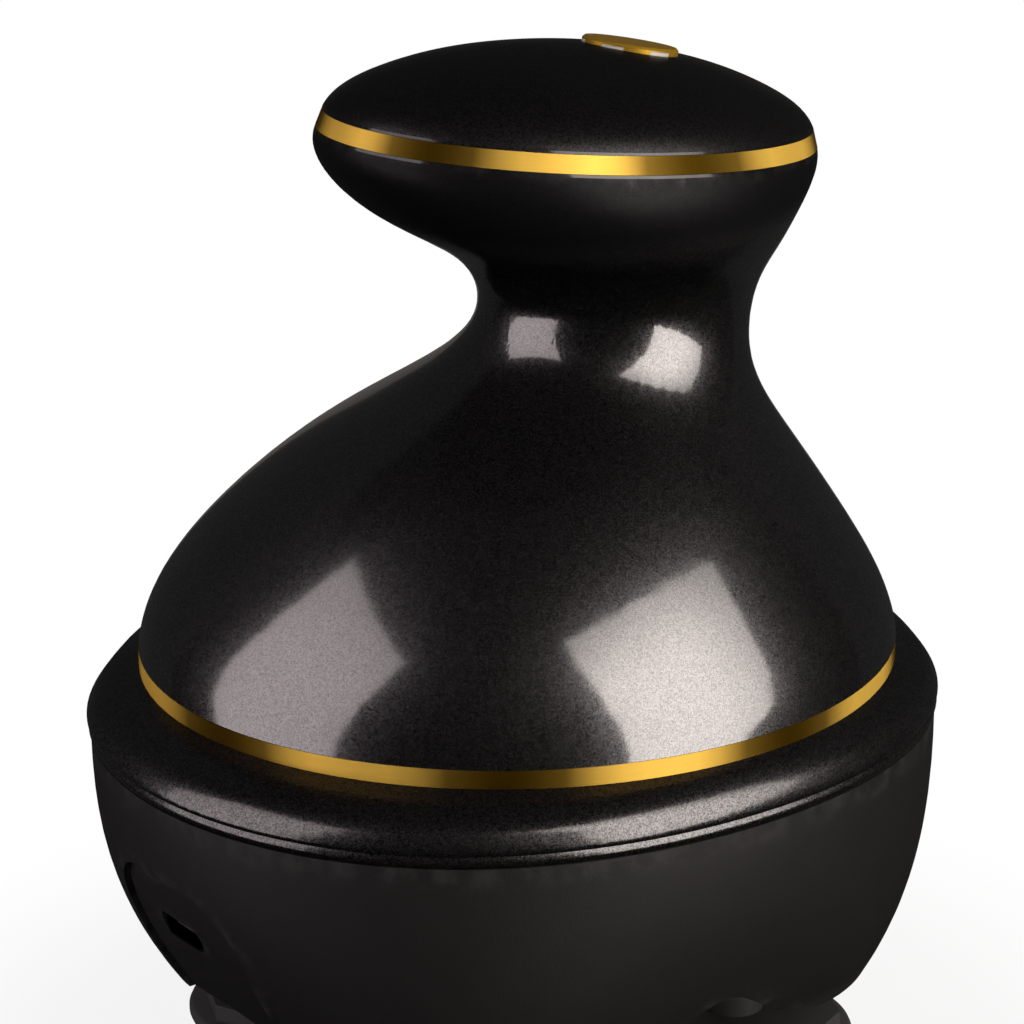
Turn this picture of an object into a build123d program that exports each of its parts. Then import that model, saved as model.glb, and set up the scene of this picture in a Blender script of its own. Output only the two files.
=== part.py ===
"""Electric scalp massager: a hand-held body whose motor turns four silicone massage heads.

Frame: millimetres, +Z up, origin on the plane that the silicone tips rest on, under the
middle of the base. The charging port and the overhanging front of the cap face -Y, and the
power button sits towards +Y. The YZ plane is the mirror plane of the outer form.
"""
from build123d import *
from math import acos, atan, atan2, cos, degrees, hypot, pi, radians, sin, tan
import os

# ---------------------------------------------------------------- overall form
SEAM_Z = 54.0              # joint line between the gloss shoulder and the matt skirt
BASE_HALF_WIDTH = 51.0     # seam half size along X
BASE_HALF_DEPTH = 56.7     # seam half size along Y
WALL = 2.2                 # moulded wall of every housing shell
SEAM_GAP = 0.3             # shadow line at the seam
SLIP = 0.15                # clearance between parts that slip into each other
SEAT = 0.05                # clearance between parts that rest on each other
RUNNING = 0.04             # radial clearance of shafts in bushes
FIT = 0.02                 # radial clearance of parts fixed on a shaft
OVERCUT = 1.0              # how far a cut runs past the face that it opens

# ---------------------------------------------------------------- skirt
SKIRT_DEPTH = 38.6         # height over which the skirt draws in
SKIRT_DRAW_IN = 0.235      # share of its size lost over that height
SKIRT_CURVE = 2.4          # how late the skirt draws in
LOBE_AT_SEAM = 0.010       # share by which the corners stand out at the seam
LOBE_GROWTH = 0.075        # further share at the bottom
SKIRT_LEVELS = 6           # sections of the skirt's outer surface
OUTLINE_POINTS = 24
LOBE_RIM_Z = 18.5          # lower edge of the skirt at its four corner lobes
SIDE_ARCH_RISE = 9.5       # how far the edge rises between the lobes, at the sides and back
FRONT_ARCH_RISE = 3.5      # the same under the charging port
ARCH_HALF_SPAN = 25.0

# ---------------------------------------------------------------- shoulder and trim
BEAD_HEIGHT = 1.3          # narrow bead that runs round the shoulder on the seam
BEAD_BULGE = 0.28
BEAD_SECTIONS = 5
# height above the seam, and share of the way in from the seam outline to the trim ring
SHOULDER_STEPS = (
    (BEAD_HEIGHT, 0.0), (2.1, -0.07), (3.1, 0.0), (4.3, 0.15), (5.8, 0.37), (6.9, 0.62), (7.7, 1.0)
)
RING_IN_SIDE = 2.9         # base trim ring, in from the seam at the sides
RING_IN_END = 6.9          # and at front and back
RING_HALF_WIDTH = BASE_HALF_WIDTH - RING_IN_SIDE
RING_HALF_DEPTH = BASE_HALF_DEPTH - RING_IN_END
RING_SEAT = SHOULDER_STEPS[-1][0]
RING_HEIGHT = 2.35
RING_OFFSET = 0.45         # the bell stands slightly back on the base
RING_BAND = 1.9            # radial thickness of both trim rings
RING_BORE_WIDTH = RING_HALF_WIDTH - RING_BAND
RING_BORE_DEPTH = RING_HALF_DEPTH - RING_BAND
SPIGOT_DEPTH = 2.6         # shoulder spigot inside the skirt
COLLAR_DEPTH = 5.0         # collar of the bell inside the shoulder
BELL_FOOT = SEAM_Z + RING_SEAT + RING_HEIGHT + 2 * SEAT

# ---------------------------------------------------------------- bell, neck and cap
# height above the seam, centre along Y, how far in from the trim ring at sides and ends, lean
BELL_STATIONS = (
    (10.3, 0.5, 0.0, 0.0, 0.0),
    (16.5, 0.6, 1.8, 2.2, 0.0),
    (24.0, 1.8, 6.4, 7.4, 0.4),
    (33.0, 5.0, 14.6, 15.9, 1.2),
    (41.5, 11.0, 24.9, 26.4, 2.5),
)
# the same, in from the lower edge of the cap ring
CAP_STATIONS = (
    (49.0, 15.7, 9.4, 16.2, 3.8),
    (55.0, 15.9, 8.8, 15.3, 4.7),
    (61.0, 12.6, 4.4, 9.8, 5.3),
    (66.0, 9.4, 0.7, 4.3, 5.7),
    (70.4, 8.6, -0.6, 0.9, 5.9),
)
CAP_LEAN = 5.9             # the cap tips up at the front
CAP_Z = 75.6               # middle of the cap ring above the seam
CAP_CENTRE = 9.1           # middle of the cap ring along Y
CAP_HALF_WIDTH = 26.4
CAP_HALF_DEPTH = 33.4
CAP_RING_HEIGHT = 2.2
CAP_RING_FLARE = 0.7       # the ring is this much larger at its lower edge
CAP_EDGE_WIDTH = CAP_HALF_WIDTH + CAP_RING_FLARE
CAP_EDGE_DEPTH = CAP_HALF_DEPTH + CAP_RING_FLARE
DOME_RISE = 9.2
DOME_SHAPE = 1.52          # power of the dome's profile, below 2 is lens-like
DOME_SHARES = (1.0, 0.95, 0.84, 0.68, 0.5, 0.3, 0.12)   # share of the size at each section
CAP_LIP = 3.2              # lip of the top cover inside the ring and shell

# ---------------------------------------------------------------- power button
BUTTON_OFFSET = 8.5        # from the middle of the cap towards +Y
BUTTON_RADIUS = 6.2
BUTTON_STAND = 0.5         # how far it stands above the dome
BUTTON_DISC = 1.6          # thickness of the gold disc
BUTTON_CHAMFER = 0.3
BUTTON_TRAVEL = 0.6
BUTTON_GAP = 0.25
FLANGE_RADIUS = 7.5
FLANGE_THICKNESS = 1.0
FLANGE_PLAY = 0.1
COVER_AT_BUTTON = 1.7      # cover thickness left over the flange
STEM_RADIUS = 2.0
STEM_LENGTH = 0.8
PLUNGER_RADIUS = 1.5
PLUNGER_LENGTH = 1.8
PLUNGER_STAND = 0.75       # plunger above the switch body
SWITCH_SIZE = 6.0
SWITCH_HEIGHT = 3.3
WINDOWS = 6
WINDOW_WIDTH = 3.1
WINDOW_DEPTH = 1.3
WINDOW_ROOF = 0.4          # gold left over each window
BOARD_SIZE = (28.0, 22.0)
BOARD_THICKNESS = 1.2
BOARD_BOSS_X = 11.2
BOARD_BOSS_RADIUS = 2.4
BOARD_SCREW_LENGTH = 5.0
LAMPS = 4
LAMP_RING_RADIUS = 9.4
LAMP_SIZE = (2.0, 1.2, 0.8)
# heights along the button's axis, from the dome's surface
FLANGE_TOP = -COVER_AT_BUTTON - FLANGE_PLAY
STEM_END = FLANGE_TOP - FLANGE_THICKNESS - STEM_LENGTH
SWITCH_TOP = STEM_END - PLUNGER_STAND
BOARD_TOP = SWITCH_TOP - SWITCH_HEIGHT

# ---------------------------------------------------------------- base plate, deck and posts
PLATE_Z = 29.0             # underside of the base plate
PLATE_THICKNESS = 2.6
PLATE_TOP = PLATE_Z + PLATE_THICKNESS
PLATE_GAP = 0.25
DECK_Z = 47.0              # underside of the gear deck
DECK_THICKNESS = 2.5
DECK_TOP = DECK_Z + DECK_THICKNESS
DECK_IN = 7.5              # edge of the deck, in from the seam
POST_RADIUS = 3.4
BACK_POST_IN = 12.7        # post axes, in from the seam along Y
FRONT_POST_IN = 14.7
FRONT_POST_SPREAD = 16.5
POST_PLACES = (
    (0.0, BASE_HALF_DEPTH - BACK_POST_IN),
    (FRONT_POST_SPREAD, FRONT_POST_IN - BASE_HALF_DEPTH),
    (-FRONT_POST_SPREAD, FRONT_POST_IN - BASE_HALF_DEPTH),
)
POST_RIB_HEIGHT = 4.4
POST_RIB_WIDTH = 2.4
SCREW_RADIUS = 1.3
SCREW_HOLE = SCREW_RADIUS + SEAT
THREAD_HOLE = SCREW_RADIUS + FIT / 2
SCREW_HEAD_RADIUS = 2.4
SCREW_HEAD_HEIGHT = 1.6
SCREW_LENGTH = 8.0
BELL_BOSS_PLACES = ((33.0, 0.0), (-33.0, 0.0))
BELL_BOSS_RADIUS = 3.8
BELL_BOSS_HEIGHT = 14.0

# ---------------------------------------------------------------- gears
PRESSURE_ANGLE = radians(25)
DEDENDUM = 1.2
TOOTH_THINNING = 0.12      # taken off each tooth for backlash
FLANK_STEPS = 1
HEAD_MODULE, HEAD_TEETH, SUN_TEETH = 1.5, 21, 18
WHEEL_MODULE, WHEEL_TEETH, IDLER_PINION_TEETH = 1.25, 32, 10
MOTOR_MODULE, IDLER_TEETH, MOTOR_TEETH = 1.0, 26, 10
SUN_PHASE = 0.0            # angle of the first tooth
WHEEL_PHASE = 0.0
IDLER_PHASE = 0.0
PIN_RADIUS = 1.5
HEAD_GEAR_WIDTH = 4.6
WHEEL_WIDTH = 3.0
LAYER_GAP = 0.6            # axial room between neighbouring gears
HEAD_LOW = PLATE_TOP + 2 * LAYER_GAP
WHEEL_LOW = HEAD_LOW + HEAD_GEAR_WIDTH + LAYER_GAP
IDLER_LOW = WHEEL_LOW + WHEEL_WIDTH + LAYER_GAP
HEAD_RING = HEAD_MODULE * (HEAD_TEETH + SUN_TEETH) / 2
IDLER_Y = WHEEL_MODULE * (WHEEL_TEETH + IDLER_PINION_TEETH) / 2
MOTOR_Y = IDLER_Y - MOTOR_MODULE * (IDLER_TEETH + MOTOR_TEETH) / 2
PIN_PLACES = {"centre_pin": 0.0, "idler_pin": IDLER_Y}

# ---------------------------------------------------------------- massage heads
# direction of each head from the middle
HEADS = {
    "front_right": -pi / 4,
    "front_left": -3 * pi / 4,
    "back_right": pi / 4,
    "back_left": 3 * pi / 4,
}
SHAFT_RADIUS = 2.0
TURRET_RADIUS = 5.8
TURRET_DROP = 7.0          # the bush turret hangs this far below the plate
HUB_RADIUS = 3.9
HUB_GAP = 1.0              # between the carrier hub and the turret
CARRIER_RADIUS = 14.2
CARRIER_THICKNESS = 2.4
CARRIER_SIDES = 8          # flats keep the pad from turning on its carrier
PAD_RADIUS = 15.8
PAD_THICKNESS = 2.2
FINGER_LENGTH = 7.2
FINGER_ROOT = 2.7
FINGER_TIP = 1.3
FINGER_RING = 11.0
FINGERS = 4                # round the rim of each head, with one more in the middle

# ---------------------------------------------------------------- motor and battery
MOTOR_RADIUS = 12.2
MOTOR_LENGTH = 26.0
MOTOR_WALL = 0.8
MOTOR_FLOOR = 1.6          # thickness of the can's mounting face
MOTOR_SHAFT_RADIUS = 1.0
ROTOR_RADIUS = 9.6
ROTOR_LENGTH = 17.0
ENDCAP_HEIGHT = 2.4
TERMINAL_SIZE = (2.0, 0.6)
TERMINAL_X = 6.7
MOTOR_HOLE_PITCH = 8.6
CELL_RADIUS = 9.1
CELL_LENGTH = 49.0
CELL_Y = -22.0
CRADLE_LENGTH = 34.0
CRADLE_WIDTH = 20.0
CRADLE_FLOOR = 1.4
CRADLE_HEIGHT = 8.0

# ---------------------------------------------------------------- charging port
PORT_DROP = 18.8           # port centre below the seam
PANEL_HALF_WIDTH = 13.6
PANEL_TOP = 10.8           # top of the arched panel below the seam
PANEL_CORNER = 9.0
PANEL_RECESS = 0.9
PANEL_GAP = 0.12
SOCKET_WIDTH = 8.94
SOCKET_HEIGHT = 3.26
SOCKET_LENGTH = 7.35
SOCKET_WALL = 0.3
SOCKET_SET_BACK = 0.5      # behind the panel's face
SLOT_MARGIN = 0.3
TONGUE_WIDTH = 6.7
TONGUE_HEIGHT = 0.7
TONGUE_SHORT = 1.0         # tongue ends this far inside the mouth
PORT_BOARD = (12.0, 15.0)
PORT_BOARD_BACK = 3.7      # front edge of the board behind the socket's mouth
PORT_BOARD_THICKNESS = 1.2

SIDES = (-1, 1)            # left and right of the mirror plane


# ---------------------------------------------------------------- helpers
def export(shape, name):
    """Writes one sub-part to its own file."""
    export_step(shape, f"parts/{name}.step")


def group(solids):
    """Several separate solids as one shape."""
    return Compound(children=list(solids))


def cylinder(radius, low, high, x=0.0, y=0.0):
    """An upright cylinder between two heights."""
    return Pos(x, y, low) * extrude(Circle(radius), amount=high - low)


def block(width, depth, low, high, x=0.0, y=0.0):
    """An upright box between two heights."""
    return Pos(x, y, low) * extrude(Rectangle(width, depth), amount=high - low)


def ellipse_prism(half_width, half_depth, low, high, y=0.0):
    """An upright elliptical prism between two heights."""
    return Pos(0, y, low) * extrude(Ellipse(half_width, half_depth), amount=high - low)


def oval_reach(angle, half_width, half_depth):
    """Distance from the middle of an oval to its edge, at an angle from -Y."""
    return 1 / hypot(sin(angle) / half_width, cos(angle) / half_depth)


def screw(place, length):
    """Hexagon-head screw whose head seats at the place's origin and whose shank points up."""
    head = extrude(RegularPolygon(SCREW_HEAD_RADIUS, 6), amount=-SCREW_HEAD_HEIGHT)
    shank = extrude(Circle(SCREW_RADIUS - FIT), amount=length)
    return place * (head + shank)


# ---------------------------------------------------------------- skirt
def skirt_radius(angle, z, inset=0.0):
    """Distance of the skirt's surface from the axis, at an angle from -Y and a height."""
    share = max(SEAM_Z - z, 0.0) / SKIRT_DEPTH
    size = 1 - SKIRT_DRAW_IN * share ** SKIRT_CURVE
    lobe = LOBE_AT_SEAM + LOBE_GROWTH * share ** 2
    oval = oval_reach(angle, BASE_HALF_WIDTH, BASE_HALF_DEPTH)
    return oval * size * (1 - lobe * cos(4 * angle)) - inset


def skirt_outline(z, inset=0.0):
    """Closed outline of the skirt at one height."""
    angles = [2 * pi * k / OUTLINE_POINTS for k in range(OUTLINE_POINTS)]
    points = [(skirt_radius(a, z, inset) * sin(a), -skirt_radius(a, z, inset) * cos(a)) for a in angles]
    return make_face(Spline(*points, periodic=True))


def skirt_loft(low, high, inset, levels=SKIRT_LEVELS, ruled=False):
    """Solid bounded by the skirt's surface between two heights."""
    heights = [high + (low - high) * k / (levels - 1) for k in range(levels)]
    return loft([Pos(0, 0, z) * skirt_outline(z, inset) for z in heights], ruled=ruled)


def skirt_hollow():
    """Space inside the skirt, drawn in straight bands."""
    return skirt_loft(LOBE_RIM_Z - OVERCUT, SEAM_Z + OVERCUT, WALL, SKIRT_LEVELS - 1, True)


def arch_cutter(direction, rise):
    """Removes the skirt below an arch that spans the gap between two lobes."""
    span = ARCH_HALF_SPAN
    below = LOBE_RIM_Z - SKIRT_DEPTH
    crown = Spline(
        (-span, LOBE_RIM_Z), (0, LOBE_RIM_Z + rise), (span, LOBE_RIM_Z), tangents=((1, 0), (1, 0))
    )
    sides = Polyline((span, LOBE_RIM_Z), (span, below), (-span, below), (-span, LOBE_RIM_Z))
    profile = make_face(Curve() + [crown, sides])
    upright = Plane(origin=(0, 0, 0), x_dir=(cos(direction), sin(direction), 0),
                    z_dir=(sin(direction), -cos(direction), 0))
    return extrude(upright * profile, amount=BASE_HALF_DEPTH + WALL)


def post(x, y):
    """Screw post that stands on the base plate, with a rib to the skirt wall."""
    low = PLATE_TOP + SEAT
    column = cylinder(POST_RADIUS, low, DECK_Z - SEAT, x, y)
    angle = atan2(x, -y)
    reach = skirt_radius(angle, low + POST_RIB_HEIGHT / 2, WALL / 2) - hypot(x, y)
    rib = Box(POST_RIB_WIDTH, reach, POST_RIB_HEIGHT, align=(Align.CENTER, Align.MAX, Align.MIN))
    column += Pos(x, y, low) * Rot(0, 0, degrees(angle)) * rib
    return column - cylinder(THREAD_HOLE, low - OVERCUT, DECK_Z + OVERCUT, x, y)


def panel_prism(gap):
    """Arch-topped prism through the front wall, for the panel or its window."""
    top = SEAM_Z - PANEL_TOP + gap
    outline = Plane.XZ * Pos(0, top / 2) * Rectangle(2 * (PANEL_HALF_WIDTH + gap), top)
    upper = outline.vertices().sort_by(Axis.Z)[-2:]
    outline = fillet(upper, PANEL_CORNER + gap)
    return extrude(outline, amount=BASE_HALF_DEPTH + WALL)


def build_skirt():
    """Matt skirt: lobed shell with arched lower edge, port window and screw posts."""
    shell = skirt_loft(LOBE_RIM_Z, SEAM_Z - SEAM_GAP, 0.0) - skirt_hollow()
    shell -= arch_cutter(0, FRONT_ARCH_RISE)
    for direction in (pi / 2, pi, -pi / 2):
        shell -= arch_cutter(direction, SIDE_ARCH_RISE)
    shell -= panel_prism(0.0)
    for x, y in POST_PLACES:
        shell += post(x, y)
    export(shell, "lower_skirt")


# ---------------------------------------------------------------- charging port
def slot_prism(width, height, y_front, y_back, z):
    """Rounded slot along Y, as of a charging socket."""
    face = Plane(origin=(0, y_front, z), x_dir=(1, 0, 0), z_dir=(0, 1, 0)) * SlotOverall(width, height)
    return extrude(face, amount=y_back - y_front)


def build_port():
    """Recessed front panel, metal socket shell, tongue and the small board that carries them."""
    z = SEAM_Z - PORT_DROP
    face_y = -skirt_radius(0, z, PANEL_RECESS)
    behind = skirt_loft(LOBE_RIM_Z, SEAM_Z - SEAM_GAP, PANEL_RECESS)
    panel = (behind - skirt_hollow()) & panel_prism(-PANEL_GAP)
    panel -= arch_cutter(0, FRONT_ARCH_RISE)
    front = face_y + SOCKET_SET_BACK
    back = front + SOCKET_LENGTH
    panel -= slot_prism(SOCKET_WIDTH + SLOT_MARGIN, SOCKET_HEIGHT + SLOT_MARGIN, face_y - WALL, back, z)
    export(panel, "port_panel")

    shell = slot_prism(SOCKET_WIDTH, SOCKET_HEIGHT, front, back, z)
    mouth = slot_prism(SOCKET_WIDTH - 2 * SOCKET_WALL, SOCKET_HEIGHT - 2 * SOCKET_WALL,
                       front, back - SOCKET_WALL, z)
    export(shell - mouth, "charging_socket")

    tongue = Pos(0, front + TONGUE_SHORT, z - TONGUE_HEIGHT / 2) * Box(
        TONGUE_WIDTH, SOCKET_LENGTH - TONGUE_SHORT - SOCKET_WALL, TONGUE_HEIGHT,
        align=(Align.CENTER, Align.MIN, Align.MIN))
    export(tongue, "socket_tongue")

    board_width, board_depth = PORT_BOARD
    top = z - SOCKET_HEIGHT / 2
    board = block(board_width, board_depth, top - PORT_BOARD_THICKNESS, top,
                  0, front + PORT_BOARD_BACK + board_depth / 2)
    export(board, "charging_board")


# ---------------------------------------------------------------- shoulder and base trim ring
def shoulder_outline(share, bulge=0.0):
    """Outline part of the way in from the seam, or from outside it, to the trim ring."""
    points = []
    for k in range(OUTLINE_POINTS):
        a = 2 * pi * k / OUTLINE_POINTS
        seam = skirt_radius(a, SEAM_Z, -bulge)
        ring_x, ring_y = RING_HALF_WIDTH * sin(a), RING_OFFSET - RING_HALF_DEPTH * cos(a)
        x = seam * sin(a) * (1 - share) + ring_x * share
        y = -seam * cos(a) * (1 - share) + ring_y * share
        points.append((x, y))
    return make_face(Spline(*points, periodic=True))


def build_shoulder():
    """Gloss shoulder between skirt and bell, with its bead and a spigot inside the skirt."""
    rises = [k / (BEAD_SECTIONS - 1) for k in range(BEAD_SECTIONS)]
    bead = loft([Pos(0, 0, SEAM_Z + BEAD_HEIGHT * t) * shoulder_outline(0.0, BEAD_BULGE * sin(pi * t))
                 for t in rises])
    rim = loft([Pos(0, 0, SEAM_Z + z) * shoulder_outline(share) for z, share in SHOULDER_STEPS])
    low = SEAM_Z - SPIGOT_DEPTH
    spigot = Pos(0, 0, low) * extrude(skirt_outline(low, WALL + 2 * SLIP), amount=SPIGOT_DEPTH)
    body = rim + bead + spigot
    body -= ellipse_prism(RING_BORE_WIDTH, RING_BORE_DEPTH, low - OVERCUT, SEAM_Z + RING_SEAT + OVERCUT,
                          RING_OFFSET)
    export(body, "shoulder_ring")

    ring_low = SEAM_Z + RING_SEAT + SEAT
    ring_high = ring_low + RING_HEIGHT
    ring = ellipse_prism(RING_HALF_WIDTH, RING_HALF_DEPTH, ring_low, ring_high, RING_OFFSET)
    ring -= ellipse_prism(RING_BORE_WIDTH, RING_BORE_DEPTH, ring_low - OVERCUT, ring_high + OVERCUT,
                          RING_OFFSET)
    export(ring, "base_trim_ring")


# ---------------------------------------------------------------- bell, neck and beak shell
def leaning_plane(height, centre, lean, lift=0.0):
    """Plane that tips up at the front, moved along its own normal by the lift."""
    tip = radians(lean)
    return Plane(origin=(0, centre + lift * sin(tip), height + lift * cos(tip)),
                 x_dir=(1, 0, 0), z_dir=(0, sin(tip), cos(tip)))


def cap_plane(offset):
    """Plane parallel to the cap ring, above or below its middle."""
    return leaning_plane(SEAM_Z + CAP_Z, CAP_CENTRE, CAP_LEAN, offset)


def bell_sections():
    """Height, centre, half width, half depth and lean of each bell section."""
    sections = [(SEAM_Z + height, centre, RING_HALF_WIDTH - side, RING_HALF_DEPTH - end, lean)
                for height, centre, side, end, lean in BELL_STATIONS]
    sections += [(SEAM_Z + height, centre, CAP_EDGE_WIDTH - side, CAP_EDGE_DEPTH - end, lean)
                 for height, centre, side, end, lean in CAP_STATIONS]
    return sections


def bell_loft(inset=0.0, lift=0.0, skipped=None, ruled=False):
    """Bell, waist and underside of the cap as one solid."""
    faces = []
    for k, (height, centre, half_width, half_depth, lean) in enumerate(bell_sections()):
        if k == skipped:
            continue
        plane = leaning_plane(height, centre, lean) if k else leaning_plane(BELL_FOOT, centre, lean, -lift)
        faces.append(plane * Ellipse(half_width - inset, half_depth - inset))
    rim = cap_plane(-CAP_RING_HEIGHT / 2 - SEAT + lift)
    faces.append(rim * Ellipse(CAP_EDGE_WIDTH - inset, CAP_EDGE_DEPTH - inset))
    return loft(faces, ruled=ruled)


def bell_boss(x, y):
    """Screw boss inside the bell with a rib to its wall."""
    low = DECK_TOP + SEAT
    high = low + BELL_BOSS_HEIGHT
    angle = atan2(x, -y)
    reach = oval_reach(angle, RING_BORE_WIDTH, RING_BORE_DEPTH) - hypot(x, y) - WALL / 2
    rib = Box(POST_RIB_WIDTH, reach, high - BELL_FOOT + COLLAR_DEPTH,
              align=(Align.CENTER, Align.MAX, Align.MIN))
    boss = cylinder(BELL_BOSS_RADIUS, low, high, x, y)
    boss += Pos(x, y, BELL_FOOT - COLLAR_DEPTH) * Rot(0, 0, degrees(angle)) * rib
    return boss - cylinder(THREAD_HOLE, low - OVERCUT, high - WALL, x, y)


def build_bell():
    """Gloss shell: bell, neck and beak in one moulding, with collar and screw bosses."""
    collar_x, collar_y = RING_BORE_WIDTH - SLIP, RING_BORE_DEPTH - SLIP
    collar_low, collar_high = BELL_FOOT - COLLAR_DEPTH, BELL_FOOT + WALL
    shell = bell_loft() + ellipse_prism(collar_x, collar_y, collar_low, collar_high, RING_OFFSET)
    shell -= bell_loft(WALL, WALL / 2, skipped=1, ruled=True)
    shell -= ellipse_prism(collar_x - WALL, collar_y - WALL, collar_low - OVERCUT, collar_high, RING_OFFSET)
    for x, y in BELL_BOSS_PLACES:
        shell += bell_boss(x, y)
    export(shell, "bell_housing")


# ---------------------------------------------------------------- cap
def dome(half_width, half_depth, rise, shares=DOME_SHARES, ruled=False):
    """Lens-shaped elliptical dome on the local XY plane."""
    sections = []
    for share in shares:
        height = rise * (1 - share ** 2) ** (1 / DOME_SHAPE)
        sections.append(Pos(0, 0, height) * Ellipse(half_width * share, half_depth * share))
    return loft(sections + [Vertex(0, 0, rise)], ruled=ruled)


def button_frame():
    """Plane on the dome under the button: its normal is the button's axis."""
    share = BUTTON_OFFSET / CAP_HALF_DEPTH
    fall = 1 - share ** 2
    height = DOME_RISE * fall ** (1 / DOME_SHAPE)
    slope = -2 * share * height / (DOME_SHAPE * fall * CAP_HALF_DEPTH)
    base = cap_plane(CAP_RING_HEIGHT / 2 + SEAT)
    lean = radians(CAP_LEAN) - atan(slope)
    return Plane(origin=base.from_local_coords((0, BUTTON_OFFSET, height)), x_dir=(1, 0, 0),
                 z_dir=(0, sin(lean), cos(lean)))


def local_cylinder(frame, radius, low, high, x=0.0):
    """Cylinder along a frame's normal between two local heights."""
    return frame * Pos(x, 0, low) * extrude(Circle(radius), amount=high - low)


def build_cap(frame):
    """Cap ring and domed top cover."""
    ring = loft([
        cap_plane(-CAP_RING_HEIGHT / 2) * Ellipse(CAP_EDGE_WIDTH, CAP_EDGE_DEPTH),
        cap_plane(CAP_RING_HEIGHT / 2) * Ellipse(CAP_HALF_WIDTH, CAP_HALF_DEPTH),
    ])
    bore = Ellipse(CAP_HALF_WIDTH - RING_BAND, CAP_HALF_DEPTH - RING_BAND)
    ring -= extrude(cap_plane(-CAP_RING_HEIGHT) * bore, amount=2 * CAP_RING_HEIGHT)
    export(ring, "cap_trim_ring")

    base = cap_plane(CAP_RING_HEIGHT / 2 + SEAT)
    outer = base * dome(CAP_HALF_WIDTH, CAP_HALF_DEPTH, DOME_RISE)
    hollow = base * dome(CAP_HALF_WIDTH - WALL, CAP_HALF_DEPTH - WALL, DOME_RISE - WALL,
                         DOME_SHARES[::2], ruled=True)
    lip_x = CAP_HALF_WIDTH - RING_BAND - SLIP
    lip_y = CAP_HALF_DEPTH - RING_BAND - SLIP
    lip = extrude(base * (Ellipse(lip_x, lip_y) - Ellipse(lip_x - WALL, lip_y - WALL)), amount=-CAP_LIP)
    cover = outer - hollow + lip
    for side in SIDES:
        boss = local_cylinder(frame, BOARD_BOSS_RADIUS, BOARD_TOP, 0.0, side * BOARD_BOSS_X)
        cover += boss & outer
    cover -= local_cylinder(frame, BUTTON_RADIUS + BUTTON_GAP, -DOME_RISE, DOME_RISE)
    cover -= local_cylinder(frame, FLANGE_RADIUS + BUTTON_GAP, BOARD_TOP, -COVER_AT_BUTTON)
    for side in SIDES:
        cover -= local_cylinder(frame, THREAD_HOLE, BOARD_TOP - OVERCUT, -COVER_AT_BUTTON - OVERCUT,
                                side * BOARD_BOSS_X)
    export(cover, "top_cover")


# ---------------------------------------------------------------- button, light and switch
def windows(frame, gap, low, high):
    """Blocks round the rim of the button, for its windows or the light ring in them."""
    inner = BUTTON_RADIUS - WINDOW_DEPTH + gap
    piece = Box(WINDOW_WIDTH - 2 * gap, BUTTON_RADIUS + OVERCUT - inner, high - low,
                align=(Align.CENTER, Align.MIN, Align.MIN))
    turns = [360 * (k + 0.5) / WINDOWS for k in range(WINDOWS)]
    return [frame * Rot(0, 0, turn) * Pos(0, inner, low) * piece for turn in turns]


def build_button(frame):
    """Gold button with windows in its side, and the light ring that shows in them."""
    top = BUTTON_STAND
    disc_low = top - BUTTON_DISC
    disc = local_cylinder(frame, BUTTON_RADIUS, disc_low, top)
    disc = chamfer(disc.edges().group_by(Axis(frame.origin, frame.z_dir))[-1], BUTTON_CHAMFER)
    for notch in windows(frame, 0.0, disc_low - OVERCUT, top - WINDOW_ROOF):
        disc -= notch
    core = BUTTON_RADIUS - WINDOW_DEPTH - SLIP
    button = disc + local_cylinder(frame, core - SLIP, FLANGE_TOP, disc_low)
    button += local_cylinder(frame, FLANGE_RADIUS, FLANGE_TOP - FLANGE_THICKNESS, FLANGE_TOP)
    button += local_cylinder(frame, STEM_RADIUS, STEM_END, FLANGE_TOP - FLANGE_THICKNESS)
    export(button, "power_button")

    ring = local_cylinder(frame, BUTTON_RADIUS, FLANGE_TOP + SEAT, disc_low - SEAT)
    ring -= local_cylinder(frame, core, FLANGE_TOP, disc_low)
    limit = local_cylinder(frame, BUTTON_RADIUS, FLANGE_TOP, top)
    for piece in windows(frame, SEAT, disc_low - 2 * SEAT, top - WINDOW_ROOF - SEAT):
        ring += piece & limit
    export(ring, "light_ring")


def build_switch(frame):
    """Switch under the button, its plunger, board, lamps and screws."""
    plunger_end = STEM_END - PLUNGER_LENGTH
    export(local_cylinder(frame, PLUNGER_RADIUS, plunger_end, STEM_END), "switch_plunger")

    switch = frame * Pos(0, 0, BOARD_TOP) * Box(
        SWITCH_SIZE, SWITCH_SIZE, SWITCH_HEIGHT, align=(Align.CENTER, Align.CENTER, Align.MIN))
    well = plunger_end - BUTTON_TRAVEL - 2 * SEAT
    switch -= local_cylinder(frame, PLUNGER_RADIUS + RUNNING, well, SWITCH_TOP + OVERCUT)
    export(switch, "push_switch")

    below = BOARD_TOP - BOARD_THICKNESS
    board = extrude(frame * Pos(0, 0, BOARD_TOP) * Rectangle(*BOARD_SIZE), amount=-BOARD_THICKNESS)
    for side in SIDES:
        board -= local_cylinder(frame, SCREW_HOLE, below - OVERCUT, BOARD_TOP + OVERCUT, side * BOARD_BOSS_X)
    export(board, "control_board")

    lamp = Box(*LAMP_SIZE, align=(Align.CENTER, Align.CENTER, Align.MIN))
    turns = [360 * (k + 0.5) / LAMPS for k in range(LAMPS)]
    lamps = [frame * Rot(0, 0, turn) * Pos(0, LAMP_RING_RADIUS, BOARD_TOP) * lamp for turn in turns]
    export(group(lamps), "indicator_lamps")

    screws = [screw(frame * Pos(side * BOARD_BOSS_X, 0, below), BOARD_SCREW_LENGTH) for side in SIDES]
    export(group(screws), "board_screws")


# ---------------------------------------------------------------- gears
def involute(angle):
    """The involute function."""
    return tan(angle) - angle


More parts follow.
